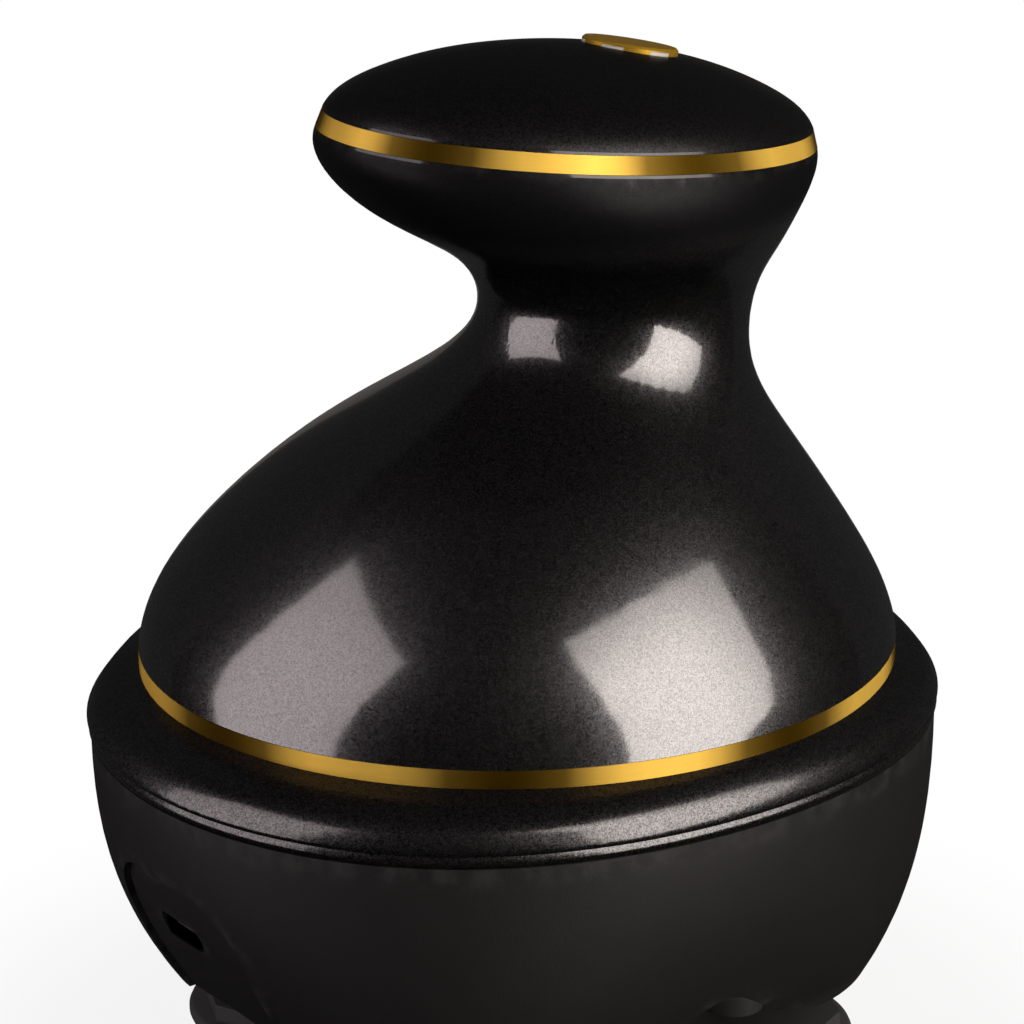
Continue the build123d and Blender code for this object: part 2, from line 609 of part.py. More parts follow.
def gear_outline(module, teeth, phase):
    """Toothed outline with one tooth centred at the phase angle, in radians."""
    pitch = module * teeth / 2
    base = pitch * cos(PRESSURE_ANGLE)
    tip = pitch + module
    root = pitch - DEDENDUM * module
    start = max(base, root)
    half_tooth = pi / (2 * teeth) - TOOTH_THINNING / (2 * pitch)
    flank = []
    if base > root:
        flank.append((root, half_tooth + involute(PRESSURE_ANGLE)))
    for k in range(FLANK_STEPS + 1):
        radius = start + (tip - start) * k / FLANK_STEPS
        flank.append((radius, half_tooth + involute(PRESSURE_ANGLE) - involute(acos(base / radius))))
    points = []
    for k in range(teeth):
        centre = phase + 2 * pi * k / teeth
        points += [(r * cos(centre - a), r * sin(centre - a)) for r, a in flank]
        points += [(r * cos(centre + a), r * sin(centre + a)) for r, a in reversed(flank)]
    return make_face(Polyline(*points, close=True))


def gear(module, teeth, phase, low, width, x=0.0, y=0.0):
    """Spur gear blank between two heights, without its bore."""
    return Pos(x, y, low) * extrude(gear_outline(module, teeth, phase), amount=width)


def meshed_phase(direction, teeth, phase, other_teeth):
    """Phase of a second gear, lying in the given direction, that meshes with the first."""
    first = (direction - phase) * teeth / (2 * pi)
    return direction + pi - (0.5 - first) * 2 * pi / other_teeth


def build_gears():
    """Centre gear, idler gear, motor pinion, and the pins of the first two."""
    centre = gear(HEAD_MODULE, SUN_TEETH, SUN_PHASE, HEAD_LOW, WHEEL_LOW - HEAD_LOW)
    centre += gear(WHEEL_MODULE, WHEEL_TEETH, WHEEL_PHASE, WHEEL_LOW, WHEEL_WIDTH)
    centre -= cylinder(PIN_RADIUS + RUNNING, HEAD_LOW - OVERCUT, WHEEL_LOW + WHEEL_WIDTH + OVERCUT)
    export(centre, "centre_gear")

    towards_back = pi / 2
    pinion_phase = meshed_phase(towards_back, WHEEL_TEETH, WHEEL_PHASE, IDLER_PINION_TEETH)
    idler = gear(WHEEL_MODULE, IDLER_PINION_TEETH, pinion_phase, WHEEL_LOW, IDLER_LOW - WHEEL_LOW, 0, IDLER_Y)
    idler += gear(MOTOR_MODULE, IDLER_TEETH, IDLER_PHASE, IDLER_LOW, WHEEL_WIDTH, 0, IDLER_Y)
    idler_top = IDLER_LOW + WHEEL_WIDTH
    idler -= cylinder(PIN_RADIUS + RUNNING, WHEEL_LOW - OVERCUT, idler_top + OVERCUT, 0, IDLER_Y)
    export(idler, "idler_gear")

    phase = meshed_phase(-towards_back, IDLER_TEETH, IDLER_PHASE, MOTOR_TEETH)
    pinion = gear(MOTOR_MODULE, MOTOR_TEETH, phase, IDLER_LOW, WHEEL_WIDTH, 0, MOTOR_Y)
    pinion -= cylinder(MOTOR_SHAFT_RADIUS + FIT, IDLER_LOW - OVERCUT, idler_top + OVERCUT, 0, MOTOR_Y)
    export(pinion, "motor_pinion")

    for name, y in PIN_PLACES.items():
        pin = cylinder(PIN_RADIUS, PLATE_TOP - PLATE_THICKNESS / 2, DECK_Z + DECK_THICKNESS / 2, 0, y)
        export(pin, name)


# ---------------------------------------------------------------- base plate and deck
def head_place(name):
    """Axis of one massage head."""
    return HEAD_RING * cos(HEADS[name]), HEAD_RING * sin(HEADS[name])


def build_base_plate():
    """Plate that closes the skirt from below, with a bush turret for each head."""
    turret_low = PLATE_Z - TURRET_DROP
    plate = Pos(0, 0, PLATE_Z) * extrude(skirt_outline(PLATE_Z, WALL + PLATE_GAP), amount=PLATE_THICKNESS)
    for name in HEADS:
        x, y = head_place(name)
        plate += cylinder(TURRET_RADIUS, turret_low, PLATE_Z, x, y)
        plate -= cylinder(SHAFT_RADIUS + RUNNING, turret_low - OVERCUT, PLATE_TOP + OVERCUT, x, y)
    for y in PIN_PLACES.values():
        plate -= cylinder(PIN_RADIUS + FIT, PLATE_TOP - PLATE_THICKNESS / 2, PLATE_TOP + OVERCUT, 0, y)
    for x, y in POST_PLACES:
        plate -= cylinder(SCREW_HOLE, PLATE_Z - OVERCUT, PLATE_TOP + OVERCUT, x, y)
    export(plate, "base_plate")


def build_deck():
    """Deck above the gears, which carries the motor and the cell."""
    deck = ellipse_prism(BASE_HALF_WIDTH - DECK_IN, BASE_HALF_DEPTH - DECK_IN, DECK_Z, DECK_TOP)
    low, high = DECK_Z - OVERCUT, DECK_TOP + OVERCUT
    for name in HEADS:
        x, y = head_place(name)
        deck -= cylinder(SHAFT_RADIUS + RUNNING, low, high, x, y)
    for y in PIN_PLACES.values():
        deck -= cylinder(PIN_RADIUS + FIT, low, DECK_Z + DECK_THICKNESS / 2, 0, y)
    pinion_room = MOTOR_MODULE * (MOTOR_TEETH / 2 + 1) + SLIP
    deck -= cylinder(pinion_room, low, high, 0, MOTOR_Y)
    motor_holes = tuple((side * MOTOR_HOLE_PITCH, MOTOR_Y) for side in SIDES)
    for x, y in POST_PLACES + BELL_BOSS_PLACES + motor_holes:
        deck -= cylinder(SCREW_HOLE, low, high, x, y)
    export(deck, "gear_deck")


def build_screws():
    """Screws that hold the plate, the deck and the bell."""
    plate_screws = [screw(Pos(x, y, PLATE_Z), SCREW_LENGTH) for x, y in POST_PLACES]
    export(group(plate_screws), "plate_screws")
    deck_screws = [screw(Pos(x, y, DECK_TOP) * Rot(180, 0, 0), SCREW_LENGTH) for x, y in POST_PLACES]
    export(group(deck_screws), "deck_screws")
    bell_screws = [screw(Pos(x, y, DECK_Z), SCREW_LENGTH + DECK_THICKNESS) for x, y in BELL_BOSS_PLACES]
    export(group(bell_screws), "bell_screws")


# ---------------------------------------------------------------- massage heads
def finger(x, y):
    """One tapered silicone finger standing on its flat tip."""
    return Pos(x, y, FINGER_LENGTH / 2) * Cone(FINGER_TIP, FINGER_ROOT, FINGER_LENGTH)


def build_head(name):
    """Gear, shaft, carrier and silicone pad of one massage head."""
    x, y = head_place(name)
    outward = HEADS[name]
    pad_top = FINGER_LENGTH + PAD_THICKNESS
    pad = cylinder(PAD_RADIUS, FINGER_LENGTH, pad_top, x, y) + finger(x, y)
    for k in range(FINGERS):
        turn = outward + 2 * pi * k / FINGERS
        pad += finger(x + FINGER_RING * cos(turn), y + FINGER_RING * sin(turn))
    export(pad, f"{name}_pad")

    carrier_low = pad_top + SEAT
    hub_top = PLATE_Z - TURRET_DROP - HUB_GAP
    plate = RegularPolygon(CARRIER_RADIUS, CARRIER_SIDES)
    carrier = Pos(x, y, carrier_low) * extrude(plate, amount=CARRIER_THICKNESS)
    carrier += cylinder(HUB_RADIUS, carrier_low, hub_top, x, y)
    shaft_low = carrier_low + CARRIER_THICKNESS
    carrier -= cylinder(SHAFT_RADIUS + FIT, shaft_low, hub_top + OVERCUT, x, y)
    export(carrier, f"{name}_carrier")

    export(cylinder(SHAFT_RADIUS, shaft_low + SEAT, DECK_TOP + LAYER_GAP, x, y), f"{name}_shaft")

    phase = meshed_phase(outward, SUN_TEETH, SUN_PHASE, HEAD_TEETH)
    wheel = gear(HEAD_MODULE, HEAD_TEETH, phase, HEAD_LOW, HEAD_GEAR_WIDTH, x, y)
    wheel -= cylinder(SHAFT_RADIUS + FIT, HEAD_LOW - OVERCUT, HEAD_LOW + HEAD_GEAR_WIDTH + OVERCUT, x, y)
    export(wheel, f"{name}_gear")


# ---------------------------------------------------------------- motor and battery
def build_motor():
    """Motor can, end cap, rotor on its shaft, and mounting screws."""
    foot = DECK_TOP + SEAT
    head = foot + MOTOR_LENGTH
    bearing = MOTOR_SHAFT_RADIUS + RUNNING
    bearing_end = head + ENDCAP_HEIGHT / 2
    can = cylinder(MOTOR_RADIUS, foot, head, 0, MOTOR_Y)
    can -= cylinder(MOTOR_RADIUS - MOTOR_WALL, foot + MOTOR_FLOOR, head + OVERCUT, 0, MOTOR_Y)
    can -= cylinder(bearing, foot - OVERCUT, head, 0, MOTOR_Y)
    hole_top = foot + MOTOR_FLOOR + OVERCUT
    for side in SIDES:
        can -= cylinder(SCREW_HOLE, foot - OVERCUT, hole_top, side * MOTOR_HOLE_PITCH, MOTOR_Y)
    export(can, "motor_can")

    cap = cylinder(MOTOR_RADIUS, head + SEAT, head + ENDCAP_HEIGHT, 0, MOTOR_Y)
    tabs_low = head + ENDCAP_HEIGHT
    for side in SIDES:
        cap += block(*TERMINAL_SIZE, tabs_low, tabs_low + ENDCAP_HEIGHT, side * TERMINAL_X, MOTOR_Y)
    cap -= cylinder(bearing, head - OVERCUT, bearing_end, 0, MOTOR_Y)
    export(cap, "motor_end_cap")

    rotor_low = foot + (MOTOR_LENGTH - ROTOR_LENGTH) / 2 + MOTOR_WALL
    rotor = cylinder(MOTOR_SHAFT_RADIUS, IDLER_LOW, bearing_end - SEAT, 0, MOTOR_Y)
    rotor += cylinder(ROTOR_RADIUS, rotor_low, rotor_low + ROTOR_LENGTH, 0, MOTOR_Y)
    export(rotor, "motor_rotor")

    screws = [screw(Pos(side * MOTOR_HOLE_PITCH, MOTOR_Y, DECK_Z), DECK_THICKNESS + MOTOR_FLOOR / 2)
              for side in SIDES]
    export(group(screws), "motor_screws")


def build_battery():
    """Lithium cell lying across the deck in its cradle."""
    floor = DECK_TOP + SEAT
    axis_z = floor + CRADLE_FLOOR + CELL_RADIUS
    across = Plane(origin=(0, CELL_Y, axis_z), x_dir=(0, 1, 0), z_dir=(1, 0, 0))
    cell = extrude(across * Circle(CELL_RADIUS), amount=CELL_LENGTH / 2, both=True)
    export(cell, "battery_cell")
    cradle = block(CRADLE_LENGTH, CRADLE_WIDTH, floor, floor + CRADLE_HEIGHT, 0, CELL_Y)
    cradle -= extrude(across * Circle(CELL_RADIUS + SEAT), amount=CELL_LENGTH, both=True)
    export(cradle, "battery_cradle")


def main():
    """Builds every sub-part and writes it out."""
    os.makedirs("parts", exist_ok=True)
    build_skirt()
    build_port()
    build_shoulder()
    build_bell()
    frame = button_frame()
    build_cap(frame)
    build_button(frame)
    build_switch(frame)
    build_gears()
    build_base_plate()
    build_deck()
    build_screws()
    for name in HEADS:
        build_head(name)
    build_motor()
    build_battery()


if __name__ == "__main__":
    main()
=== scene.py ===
"""Looks of an electric scalp massager: finishes, moulded details, studio and camera.

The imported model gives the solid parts. Each sub-assembly is a class that dresses its own
parts, and every finish is a small class that builds one node material. Lengths are metres.
"""
import logging
import math
from dataclasses import dataclass, field
from enum import Enum
from typing import Callable, Mapping, Optional, Sequence

import bmesh
import bpy
from mathutils import Matrix, Vector


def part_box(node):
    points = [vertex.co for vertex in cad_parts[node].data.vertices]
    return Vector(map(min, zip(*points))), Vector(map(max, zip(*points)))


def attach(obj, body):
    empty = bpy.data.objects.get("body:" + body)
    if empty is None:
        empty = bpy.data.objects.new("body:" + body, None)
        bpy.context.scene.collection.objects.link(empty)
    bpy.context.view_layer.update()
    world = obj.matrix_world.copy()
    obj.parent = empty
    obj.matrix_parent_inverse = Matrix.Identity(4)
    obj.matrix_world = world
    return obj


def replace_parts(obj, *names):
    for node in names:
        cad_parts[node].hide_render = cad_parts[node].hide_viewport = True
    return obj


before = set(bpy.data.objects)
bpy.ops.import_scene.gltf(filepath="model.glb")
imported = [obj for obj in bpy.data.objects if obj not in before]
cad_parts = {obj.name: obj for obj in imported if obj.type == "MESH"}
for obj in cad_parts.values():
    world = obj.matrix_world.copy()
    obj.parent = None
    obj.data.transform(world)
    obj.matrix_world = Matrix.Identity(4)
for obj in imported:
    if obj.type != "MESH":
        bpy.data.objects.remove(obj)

LOG = logging.getLogger("massager")
MM = 0.001
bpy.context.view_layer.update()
SHOULDER_RISE = 7.7 * MM
SEAM_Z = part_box("shoulder_ring")[1].z - SHOULDER_RISE

Colour = tuple[float, float, float]
Span = tuple[float, float]
Bearing = tuple[float, float]

NO_LIGHT: Colour = (0.0, 0.0, 0.0)


# ---------------------------------------------------------------- node helpers
class Tree:
    """Thin wrapper round a node tree that adds nodes and links in few words."""

    def __init__(self, tree: bpy.types.NodeTree) -> None:
        """Keeps the tree.

        Args:
            tree: The material's, world's or group's node tree.
        """
        self.tree = tree

    def add(self, kind: str, **settings: object) -> bpy.types.Node:
        """Adds a node and sets its properties.

        Args:
            kind: Blender's node type name.
            **settings: Properties to set on the node.

        Returns:
            The new node.
        """
        node = self.tree.nodes.new(kind)
        for name, value in settings.items():
            setattr(node, name, value)
        return node

    def join(self, source: bpy.types.NodeSocket, target: bpy.types.NodeSocket) -> None:
        """Links two sockets.

        Args:
            source: Output socket.
            target: Input socket.
        """
        self.tree.links.new(source, target)

    def put(self, value: object, target: bpy.types.NodeSocket) -> None:
        """Links a socket to another, or sets a number or colour on it.

        Args:
            value: A socket, a number or a colour.
            target: The socket that takes it.
        """
        if isinstance(value, bpy.types.NodeSocket):
            self.join(value, target)
        elif isinstance(value, tuple):
            target.default_value = (*value, 1.0)
        else:
            target.default_value = value

    def maths(self, operation: str, first: object, second: object = 0.0,
              clamp: bool = False) -> bpy.types.NodeSocket:
        """Adds a Math node.

        Args:
            operation: Name of the operation.
            first: A socket or a number.
            second: A socket or a number.
            clamp: Whether the result stays between 0 and 1.

        Returns:
            The node's output.
        """
        node = self.add("ShaderNodeMath", operation=operation, use_clamp=clamp)
        for socket, value in zip(node.inputs, (first, second)):
            self.put(value, socket)
        return node.outputs[0]

    def scaled(self, value: bpy.types.NodeSocket, factor: float,
               offset: float) -> bpy.types.NodeSocket:
        """Multiplies a value and adds an offset.

        Args:
            value: What is scaled.
            factor: What it is multiplied by.
            offset: What is added afterwards.

        Returns:
            The scaled value.
        """
        result = self.maths("MULTIPLY_ADD", value, factor)
        result.node.inputs[2].default_value = offset
        return result

    def smooth(self, value: bpy.types.NodeSocket, given: Span,
               wanted: Span) -> bpy.types.NodeSocket:
        """Carries a value from one span of numbers to another, with soft ends.

        Args:
            value: What drives the change.
            given: Where the change starts and ends.
            wanted: The results at those two ends.

        Returns:
            The new value.
        """
        node = self.add("ShaderNodeMapRange", interpolation_type="SMOOTHSTEP")
        self.join(value, node.inputs["Value"])
        labels = ("From Min", "From Max", "To Min", "To Max")
        for label, number in zip(labels, (*given, *wanted)):
            node.inputs[label].default_value = number
        return node.outputs["Result"]

    def place(self) -> bpy.types.NodeSocket:
        """Reads where a point of the surface lies.

        Returns:
            Its coordinates in metres.
        """
        return self.add("ShaderNodeTexCoord").outputs["Object"]

    def split(self, vector: bpy.types.NodeSocket) -> Mapping[str, bpy.types.NodeSocket]:
        """Takes a vector apart.

        Args:
            vector: The vector.

        Returns:
            Its parts, by the names X, Y and Z.
        """
        node = self.add("ShaderNodeSeparateXYZ")
        self.join(vector, node.inputs[0])
        return node.outputs

    def emission(self, colour: object, strength: object = 1.0) -> bpy.types.NodeSocket:
        """Adds a shader that gives off light.

        Args:
            colour: A socket or a colour.
            strength: A socket or a number.

        Returns:
            The shader.
        """
        node = self.add("ShaderNodeEmission")
        self.put(colour, node.inputs["Color"])
        self.put(strength, node.inputs["Strength"])
        return node.outputs[0]

    def ramp(self, factor: bpy.types.NodeSocket,
             stops: Sequence[tuple[float, float]]) -> bpy.types.NodeSocket:
        """Adds a grey colour ramp.

        Args:
            factor: What drives the ramp.
            stops: Position and grey value of each stop.

        Returns:
            The ramp's colour output.
        """
        node = self.add("ShaderNodeValToRGB")
        marks = node.color_ramp.elements
        while len(marks) < len(stops):
            marks.new(0.5)
        for mark, (place, grey) in zip(marks, stops):
            mark.position = place
            mark.color = (grey, grey, grey, 1.0)
        self.join(factor, node.inputs["Fac"])
        return node.outputs["Color"]

    def mix(self, factor: object, first: object, second: object) -> bpy.types.NodeSocket:
        """Mixes two colours.

        Args:
            factor: A socket or a number.
            first: A socket or a colour.
            second: A socket or a colour.

        Returns:
            The mixed colour.
        """
        node = self.add("ShaderNodeMix", data_type="RGBA")
        for socket, value in ((0, factor), (6, first), (7, second)):
            self.put(value, node.inputs[socket])
        return node.outputs[2]

    def noise(self, place: bpy.types.NodeSocket, grain: float,
              detail: float = 2.0) -> bpy.types.NodeSocket:
        """Adds a noise texture.

        Args:
            place: Coordinates in metres.
            grain: Size of the grain in metres.
            detail: Octaves.

        Returns:
            The noise value.
        """
        node = self.add("ShaderNodeTexNoise")
        node.inputs["Scale"].default_value = 1.0 / grain
        node.inputs["Detail"].default_value = detail
        self.join(place, node.inputs["Vector"])
        return node.outputs["Fac"]


class Effect:
    """A shader node group that is built once and used by several finishes."""

    groups: dict[str, bpy.types.NodeTree] = {}

    @classmethod
    def group(cls, name: str, inputs: dict[str, float], outputs: dict[str, str],
              build: Callable[[Tree, bpy.types.Node, bpy.types.Node], None]) -> bpy.types.NodeTree:
        """Returns the named group, and builds it the first time.

        Args:
            name: The group's name.
            inputs: Number inputs with their defaults.
            outputs: Outputs with their socket types.
            build: Fills the group, given its tree, input node and output node.

        Returns:
            The node group.
        """
        if name in cls.groups:
            return cls.groups[name]
        tree = bpy.data.node_groups.new(name, "ShaderNodeTree")
        for label, default in inputs.items():
            socket = tree.interface.new_socket(label, in_out="INPUT", socket_type="NodeSocketFloat")
            socket.default_value = default
        for label, kind in outputs.items():
            tree.interface.new_socket(label, in_out="OUTPUT", socket_type=kind)
        wrapped = Tree(tree)
        build(wrapped, wrapped.add("NodeGroupInput"), wrapped.add("NodeGroupOutput"))
        cls.groups[name] = tree
        return tree

    @classmethod
    def use(cls, tree: Tree, group: bpy.types.NodeTree, **values: float) -> bpy.types.Node:
        """Adds a group to a material.

        Args:
            tree: The material's tree.
            group: The node group.
            **values: Numbers for its inputs, with underscores for spaces.

        Returns:
            The group node.
        """
        node = tree.add("ShaderNodeGroup", node_tree=group)
        for label, value in values.items():
            node.inputs[label.replace("_", " ")].default_value = value
        return node


def edge_wear() -> bpy.types.NodeTree:
    """Group that marks rubbed convex edges, broken up by noise.

    Returns:
        The node group, with one Mask output.
    """
    def build(tree: Tree, given: bpy.types.Node, result: bpy.types.Node) -> None:
        place = tree.place()
        point = tree.add("ShaderNodeNewGeometry").outputs["Pointiness"]
        edge = tree.ramp(point, ((0.515, 0.0), (0.56, 1.0)))
        breakup = tree.ramp(tree.noise(place, 2.2 * MM, 4.0), ((0.42, 0.0), (0.66, 1.0)))
        worn = tree.maths("MULTIPLY", edge, breakup)
        mask = tree.maths("MULTIPLY", worn, given.outputs["Amount"], clamp=True)
        tree.join(mask, result.inputs["Mask"])

    return Effect.group("edge_wear", {"Amount": 1.0}, {"Mask": "NodeSocketFloat"}, build)


def fine_grain() -> bpy.types.NodeTree:
    """Group for a spark-eroded moulding texture.

    Returns:
        The node group, with Height and Mottle outputs.
    """
    def build(tree: Tree, given: bpy.types.Node, result: bpy.types.Node) -> None:
        place = tree.place()
        scaled = tree.add("ShaderNodeVectorMath", operation="SCALE")
        tree.join(place, scaled.inputs[0])
        tree.join(given.outputs["Density"], scaled.inputs["Scale"])
        fine = tree.maths("MULTIPLY", tree.noise(scaled.outputs[0], 0.22 * MM, 3.0), 0.7)
        coarse = tree.maths("MULTIPLY", tree.noise(scaled.outputs[0], 0.7 * MM, 2.0), 0.3)
        tree.join(tree.maths("ADD", fine, coarse), result.inputs["Height"])
        tree.join(tree.noise(scaled.outputs[0], 9 * MM, 3.0), result.inputs["Mottle"])

    return Effect.group("fine_grain", {"Density": 1.0},
                        {"Height": "NodeSocketFloat", "Mottle": "NodeSocketFloat"}, build)


def metal_flake() -> bpy.types.NodeTree:
    """Group for metallic flakes set in lacquer.

    Returns:
        The node group, with Glint and Tilt outputs.
    """
    def build(tree: Tree, given: bpy.types.Node, result: bpy.types.Node) -> None:
        place = tree.place()
        cells = tree.add("ShaderNodeTexVoronoi")
        tree.join(place, cells.inputs["Vector"])
        tree.join(tree.maths("DIVIDE", 1.0 / MM, given.outputs["Flake mm"]), cells.inputs["Scale"])
        split = tree.add("ShaderNodeSeparateColor")
        tree.join(cells.outputs["Color"], split.inputs["Color"])
        glint = tree.maths("POWER", split.outputs["Red"], given.outputs["Contrast"])
        tree.join(glint, result.inputs["Glint"])
        tree.join(split.outputs["Green"], result.inputs["Tilt"])

    return Effect.group("metal_flake", {"Flake mm": 0.2, "Contrast": 2.0},
                        {"Glint": "NodeSocketFloat", "Tilt": "NodeSocketFloat"}, build)


def settled_dust() -> bpy.types.NodeTree:
    """Group for faint dust and finger haze on faces that look up.

    Returns:
        The node group, with one Mask output.
    """
    def build(tree: Tree, given: bpy.types.Node, result: bpy.types.Node) -> None:
        place = tree.place()
        turned = tree.split(tree.add("ShaderNodeNewGeometry").outputs["Normal"])
        upward = tree.maths("MAXIMUM", turned["Z"], 0.0)
        haze = tree.ramp(tree.noise(place, 14 * MM, 4.0), ((0.4, 0.15), (0.7, 1.0)))
        settled = tree.maths("MULTIPLY", upward, haze)
        mask = tree.maths("MULTIPLY", settled, given.outputs["Amount"], clamp=True)
        tree.join(mask, result.inputs["Mask"])

    return Effect.group("settled_dust", {"Amount": 0.1}, {"Mask": "NodeSocketFloat"}, build)


# ---------------------------------------------------------------- finishes
@dataclass(frozen=True)
class Finish:
    """A named surface finish that builds one material and keeps it."""

    name: str
    slot: str

    def material(self) -> bpy.types.Material:
        """Returns the material, built the first time.

        Returns:
            The Blender material.
        """
        found = bpy.data.materials.get(self.name)
        if found:
            return found
        material = bpy.data.materials.new(self.name)
        material.use_nodes = True
        tree = Tree(material.node_tree)
        self.fill(tree, material.node_tree.nodes["Principled BSDF"])
        return material

    def fill(self, tree: Tree, shader: bpy.types.Node) -> None:
        """Builds the nodes; each kind of finish has its own.

        Args:
            tree: The material's tree.
            shader: Its Principled BSDF.
        """
        raise NotImplementedError

    @staticmethod
    def bump(tree: Tree, shader: bpy.types.Node, height: bpy.types.NodeSocket,
             depth: float) -> bpy.types.Node:
        """Adds a bump node.

        Args:
            tree: The material's tree.
            shader: The Principled BSDF.
            height: Height from 0 to 1.
            depth: What a height of 1 means, in metres.

        Returns:
            The bump node.
        """
        node = tree.add("ShaderNodeBump")
        node.inputs["Distance"].default_value = depth
        node.inputs["Strength"].default_value = 1.0
        tree.join(height, node.inputs["Height"])
        tree.join(node.outputs["Normal"], shader.inputs["Normal"])
        return node


@dataclass(frozen=True)
class FlakeLacquer(Finish):
    """Black lacquer over fine metallic flake, under a clear gloss coat.

    From a given height upwards the coat thins out over the height of soft_band, and the base colour
    is darkened towards dark there: a painted shade under the cap. Between the two heights of
    flare the shine turns upwards, as on a flatter shoulder. ring_line is a thin glossy lip, given
    by two distances along an axis that leans by line_lean degrees. Glossy rays find the lacquer
    dark, so parts don't mirror one another's reflections.
    """

    dark: Colour = (0.012, 0.012, 0.0125)
    bright: Colour = (0.132, 0.129, 0.131)
    flake_mm: float = 0.15
    glint_contrast: float = 0.8
    tilt_spread: float = 0.1
    flake_depth: float = 0.0022 * MM
    dust: float = 0.01
    dust_colour: Colour = (0.2, 0.2, 0.2)
    wear: float = 0.15
    worn_colour: Colour = (0.12, 0.12, 0.12)
    base_roughness: float = 0.28
    coat_roughness: float = 0.1
    coat_ior: float = 2.0
    coat: float = 1.0
    soft_coat: float = 0.0
    metallic: float = 0.95
    soft_metallic: float = 0.76
    softer: float = 0.14
    # Height where the coat softens and the painted shade under the cap begins.
    soft_and_shaded_from: Optional[float] = None
    soft_band: float = 7 * MM
    # How far the base colour is darkened towards dark under the cap, as painted shade.
    painted_shade_under_cap: float = 0.95
    ring_line: Optional[Span] = None
    line_lean: float = 5.9
    line_coat: float = 0.45
    flare: Optional[Span] = None
    flare_depth: float = 1.9 * MM

    def fill(self, tree: Tree, shader: bpy.types.Node) -> None:
        """Builds flake, haze and coat.

        Args:
            tree: The material's tree.
            shader: Its Principled BSDF.
        """
        flake = Effect.use(tree, metal_flake(), Flake_mm=self.flake_mm,
                           Contrast=self.glint_contrast)
        dust = Effect.use(tree, settled_dust(), Amount=self.dust)
        wear = Effect.use(tree, edge_wear(), Amount=self.wear)
        bounced = tree.add("ShaderNodeLightPath").outputs["Is Glossy Ray"]
        base = tree.mix(flake.outputs["Glint"], self.dark, self.bright)
        # Painted shade: the base colour darkens towards dark under the cap.
        if self.soft_and_shaded_from is not None:
            base = tree.mix(self.faded(tree, 0.0, self.painted_shade_under_cap), base, self.dark)
        base = tree.mix(dust.outputs["Mask"], base, self.dust_colour)
        base = tree.mix(wear.outputs["Mask"], base, self.worn_colour)
        tree.join(tree.mix(bounced, base, NO_LIGHT), shader.inputs["Base Color"])
        weight = tree.maths("SUBTRACT", 1.0, bounced)
        shine = tree.maths("MULTIPLY", weight, self.faded(tree, self.metallic, self.soft_metallic))
        tree.join(shine, shader.inputs["Metallic"])
        shader.inputs["Specular IOR Level"].default_value = 0.0
        least = self.base_roughness - self.tilt_spread / 2
        spread = tree.maths("ADD", self.faded(tree, 0.0, self.softer), least)
        tilted = tree.maths("MULTIPLY", flake.outputs["Tilt"], self.tilt_spread)
        rough = tree.maths("ADD", tilted, spread)
        tree.join(rough, shader.inputs["Roughness"])
        coat = self.polished(tree, self.faded(tree, self.coat, self.soft_coat))
        tree.join(tree.maths("MULTIPLY", weight, coat), shader.inputs["Coat Weight"])
        shader.inputs["Coat IOR"].default_value = self.coat_ior
        shader.inputs["Coat Roughness"].default_value = self.coat_roughness
        if self.flare:
            self.turn_up(tree, shader)
        else:
            self.bump(tree, shader, flake.outputs["Tilt"], self.flake_depth)

    def height(self, tree: Tree) -> bpy.types.NodeSocket:
        """Reads the height over the floor.

        Args:
            tree: The material's tree.

        Returns:
            The height in metres.
        """
        return tree.split(tree.place())["Z"]

    def faded(self, tree: Tree, low: float, high: float) -> object:
        """Fades a value from the body up to the softer finish over it, where the base colour also
        takes its painted shade.

        Args:
            tree: The material's tree.
            low: Value on the body.
            high: Value higher up, where the finish softens and the painted shade lies.

        Returns:
            A number, or a socket where the finish changes with height.
        """
        if self.soft_and_shaded_from is None:
            return low
        band = (self.soft_and_shaded_from, self.soft_and_shaded_from + self.soft_band)
        return tree.smooth(self.height(tree), band, (low, high))

    def polished(self, tree: Tree, coat: object) -> object:
        """Keeps full gloss on the thin lip that touches the leaning cap ring.

        Args:
            tree: The material's tree.
            coat: Coat weight elsewhere.

        Returns:
            The coat weight.
        """
        if self.ring_line is None:
            return coat
        low, high = self.ring_line
        place = tree.add("ShaderNodeVectorMath", operation="DOT_PRODUCT")
        tree.join(tree.place(), place.inputs[0])
        lean = math.radians(self.line_lean)
        place.inputs[1].default_value = (0.0, math.sin(lean), math.cos(lean))
        from_middle = tree.maths("SUBTRACT", place.outputs["Value"], (low + high) / 2)
        lip = tree.maths("LESS_THAN", tree.maths("ABSOLUTE", from_middle), (high - low) / 2)
        return tree.maths("MAXIMUM", coat, tree.maths("MULTIPLY", lip, self.line_coat))

    def turn_up(self, tree: Tree, shader: bpy.types.Node) -> None:
        """Turns the shine upwards between two heights, as on a flatter shoulder.

        Args:
            tree: The material's tree.
            shader: Its Principled BSDF.
        """
        slope = tree.smooth(self.height(tree), self.flare, (1.0, 0.0))
        node = self.bump(tree, shader, slope, self.flare_depth)
        tree.join(node.outputs["Normal"], shader.inputs["Coat Normal"])


